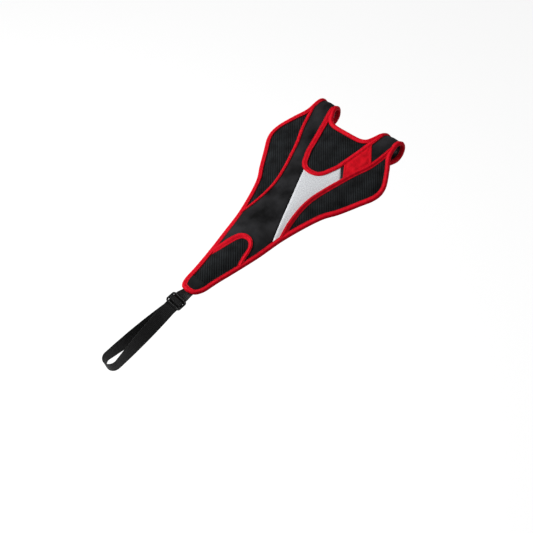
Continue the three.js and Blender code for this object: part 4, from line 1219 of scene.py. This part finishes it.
def slider_piece():
    across, face = twisted(SLIDER_TWIST)
    basis = Matrix(np.stack([across, np.cross(face, across), face], 1).tolist()).to_4x4()
    basis.translation = Vector(slider_point(0, 0) * MM)
    (ring, ring_faces), (bar, bar_faces) = frame_points(), centre_bar_points()
    joined = bpy.data.meshes.new("slider")
    bar_faces = [[i + len(ring) for i in face] for face in bar_faces]
    joined.from_pydata(np.vstack([ring, bar]).tolist(), [], [list(f) for f in ring_faces] + bar_faces)
    made = bpy.data.objects.new("slider", joined)
    bpy.context.scene.collection.objects.link(made)
    remesh = made.modifiers.new("moulded", "REMESH")
    remesh.mode = "VOXEL"
    remesh.voxel_size = MOULD_DETAIL
    soften = made.modifiers.new("soft_edges", "SMOOTH")
    soften.factor = 0.5
    soften.iterations = 4
    shown = bpy.data.meshes.new_from_object(made.evaluated_get(bpy.context.evaluated_depsgraph_get()))
    made.modifiers.clear()
    made.data = shown
    shown.transform(Matrix.Scale(MM, 4))
    shown.transform(basis)
    shown.polygons.foreach_set("use_smooth", np.ones(len(shown.polygons), bool))
    shown.materials.append(ACETAL)
    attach(made, "root")
    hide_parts("strap_slider")


slider_piece()


# Hook and loop tapes, with a thin woven ground and a pressed edge
FASTENER_TOP = -0.1
PRESSED_SHARE = 0.45
PRESSED_EDGE = (0.4, 2.0)


def fastener_patch(name, node, middle, half, start, end, thickness, material):
    corners = [(middle - half, start), (middle + half, start), (middle + half, end), (middle - half, end)]
    closed = closed_line(np.array(corners, float))
    outline = evenly(closed, SMALL_EDGE_STEP)[:-1]

    def low(flat):
        inwards = smoothstep(distance_to(flat, closed), *PRESSED_EDGE)
        return -GAP - thickness * (PRESSED_SHARE + (1 - PRESSED_SHARE) * inwards)

    def top(flat):
        return np.full(len(flat), FASTENER_TOP)

    return add_piece(name, *cloth_solid(outline, low, top, SMALL_SPACING), material, "fastener", [node])


HOOK_FROM = WRAP_END - ARM_SPAN - 2
HOOK_TO = ARM_TIP + BINDING_WIDTH + GAP
LOOP_FROM = ARM_JOIN_AT - 4
for side, word in ((1, "right"), (-1, "left")):
    fastener_patch(f"{word}_loops", f"{word}_loop_patch", side * ARM_MIDDLE, LOOP_HALF_WIDTH,
                                    LOOP_FROM, LOOP_FROM + LOOP_LENGTH, LOOP_THICKNESS, LOOPS)
    fastener_patch(f"{word}_hooks", f"{word}_hook_patch", side * ARM_MIDDLE, HOOK_HALF_WIDTH,
                                    HOOK_TO, HOOK_FROM, HOOK_THICKNESS, HOOKS)

flat_area(lining_outline) * MM**2


# Floor, light and camera
FLOOR_AT = -930.0
FLOOR_HALF = 9000.0
FLOOR_CLOTH = 0xAAAAAA
FLOOR_GLOW = 0.72
AMBIENT = 0.28


def directly_seen(tree, *rays):
    """1 for the named kinds of ray of a light path, and 0 for the others."""
    path = add_node(tree, "ShaderNodeLightPath", {})
    seen = path.outputs[rays[0]]
    for ray in rays[1:]:
        seen = add_node(tree, "ShaderNodeMath", {0: seen, 1: path.outputs[ray]}, operation="MAXIMUM")
    return seen


def studio_floor():
    material, tree = start_material("studio_floor")
    seen = directly_seen(tree, "Is Camera Ray", "Is Glossy Ray", "Is Transmission Ray")
    cloth = add_node(tree, "ShaderNodeBsdfDiffuse", {"Color": linear(FLOOR_CLOTH)})
    strength = add_node(tree, "ShaderNodeMath", {0: seen, 1: FLOOR_GLOW}, operation="MULTIPLY")
    glow = add_node(tree, "ShaderNodeEmission", {"Strength": strength})
    both = add_node(tree, "ShaderNodeAddShader", {0: cloth, 1: glow})
    add_node(tree, "ShaderNodeOutputMaterial", {"Surface": both})
    corners = [(x * FLOOR_HALF, y * FLOOR_HALF, FLOOR_AT) for x, y in ((-1, -1), (1, -1), (1, 1), (-1, 1))]
    floor = make_object("studio_floor", corners, [(0, 1, 2, 3)], np.zeros((4, 2)), material)


def studio_world():
    world = bpy.data.worlds.new("studio")
    bpy.context.scene.world = world
    world.use_nodes = True
    tree = world.node_tree
    tree.nodes.clear()
    seen = directly_seen(tree, "Is Camera Ray", "Is Transmission Ray")
    strength = add_node(tree, "ShaderNodeMapRange", {"Value": seen, "To Min": AMBIENT, "To Max": 1.0})
    sky = add_node(tree, "ShaderNodeBackground", {"Color": (1, 1, 1, 1), "Strength": strength})
    add_node(tree, "ShaderNodeOutputWorld", {"Surface": sky})


def camera_basis():
    a, e, r = CAMERA_AZIMUTH, CAMERA_ELEVATION, CAMERA_ROLL
    back = np.array([math.sin(a) * math.cos(e), -math.cos(a) * math.cos(e), math.sin(e)])
    level = np.cross([0, 0, 1.0], back)
    level /= np.linalg.norm(level)
    up = np.cross(back, level)
    return level * math.cos(r) + up * math.sin(r), up * math.cos(r) - level * math.sin(r), back


# Each lamp: how far to the right, up and back it lies as the camera sees it, then its distance and its width
# in metres, and its power in watts
LAMPS = [
    ("key_light", (-1.0, 0.55, 0.3), 2.4, 0.7, 60.0),
    ("fill_light", (0.3, -0.2, 1.0), 3.0, 2.0, 2.0),
    ("edge_light", (0.42, 0.79, 0.45), 2.4, 0.35, 7.0),
]
LIT_MIDDLE = Vector((0, -0.25, -0.03))


def add_light(name, towards, distance, size, power):
    lamp = bpy.data.lights.new(name, "AREA")
    lamp.size = size
    lamp.energy = power
    made = bpy.data.objects.new(name, lamp)
    direction = Vector(np.array(towards) @ np.stack(camera_basis())).normalized()
    made.location = LIT_MIDDLE + direction * distance
    made.rotation_euler = direction.to_track_quat("Z", "Y").to_euler()
    bpy.context.scene.collection.objects.link(made)


def studio_camera():
    right, up, back = camera_basis()
    camera = bpy.data.cameras.new("camera")
    camera.sensor_width = 36.0
    camera.lens = FOCAL_LENGTH_PX / PHOTO_SIDE * camera.sensor_width
    made = bpy.data.objects.new("camera", camera)
    placed = Matrix(np.stack([right, up, back], 1).tolist()).to_4x4()
    placed.translation = Vector((LOOK_AT + back * CAMERA_DISTANCE) * MM)
    made.matrix_world = placed
    bpy.context.scene.collection.objects.link(made)
    bpy.context.scene.camera = made


studio_floor()
studio_world()
for lamp_values in LAMPS:
    add_light(*lamp_values)
studio_camera()
bpy.context.scene.view_settings.view_transform = "Standard"
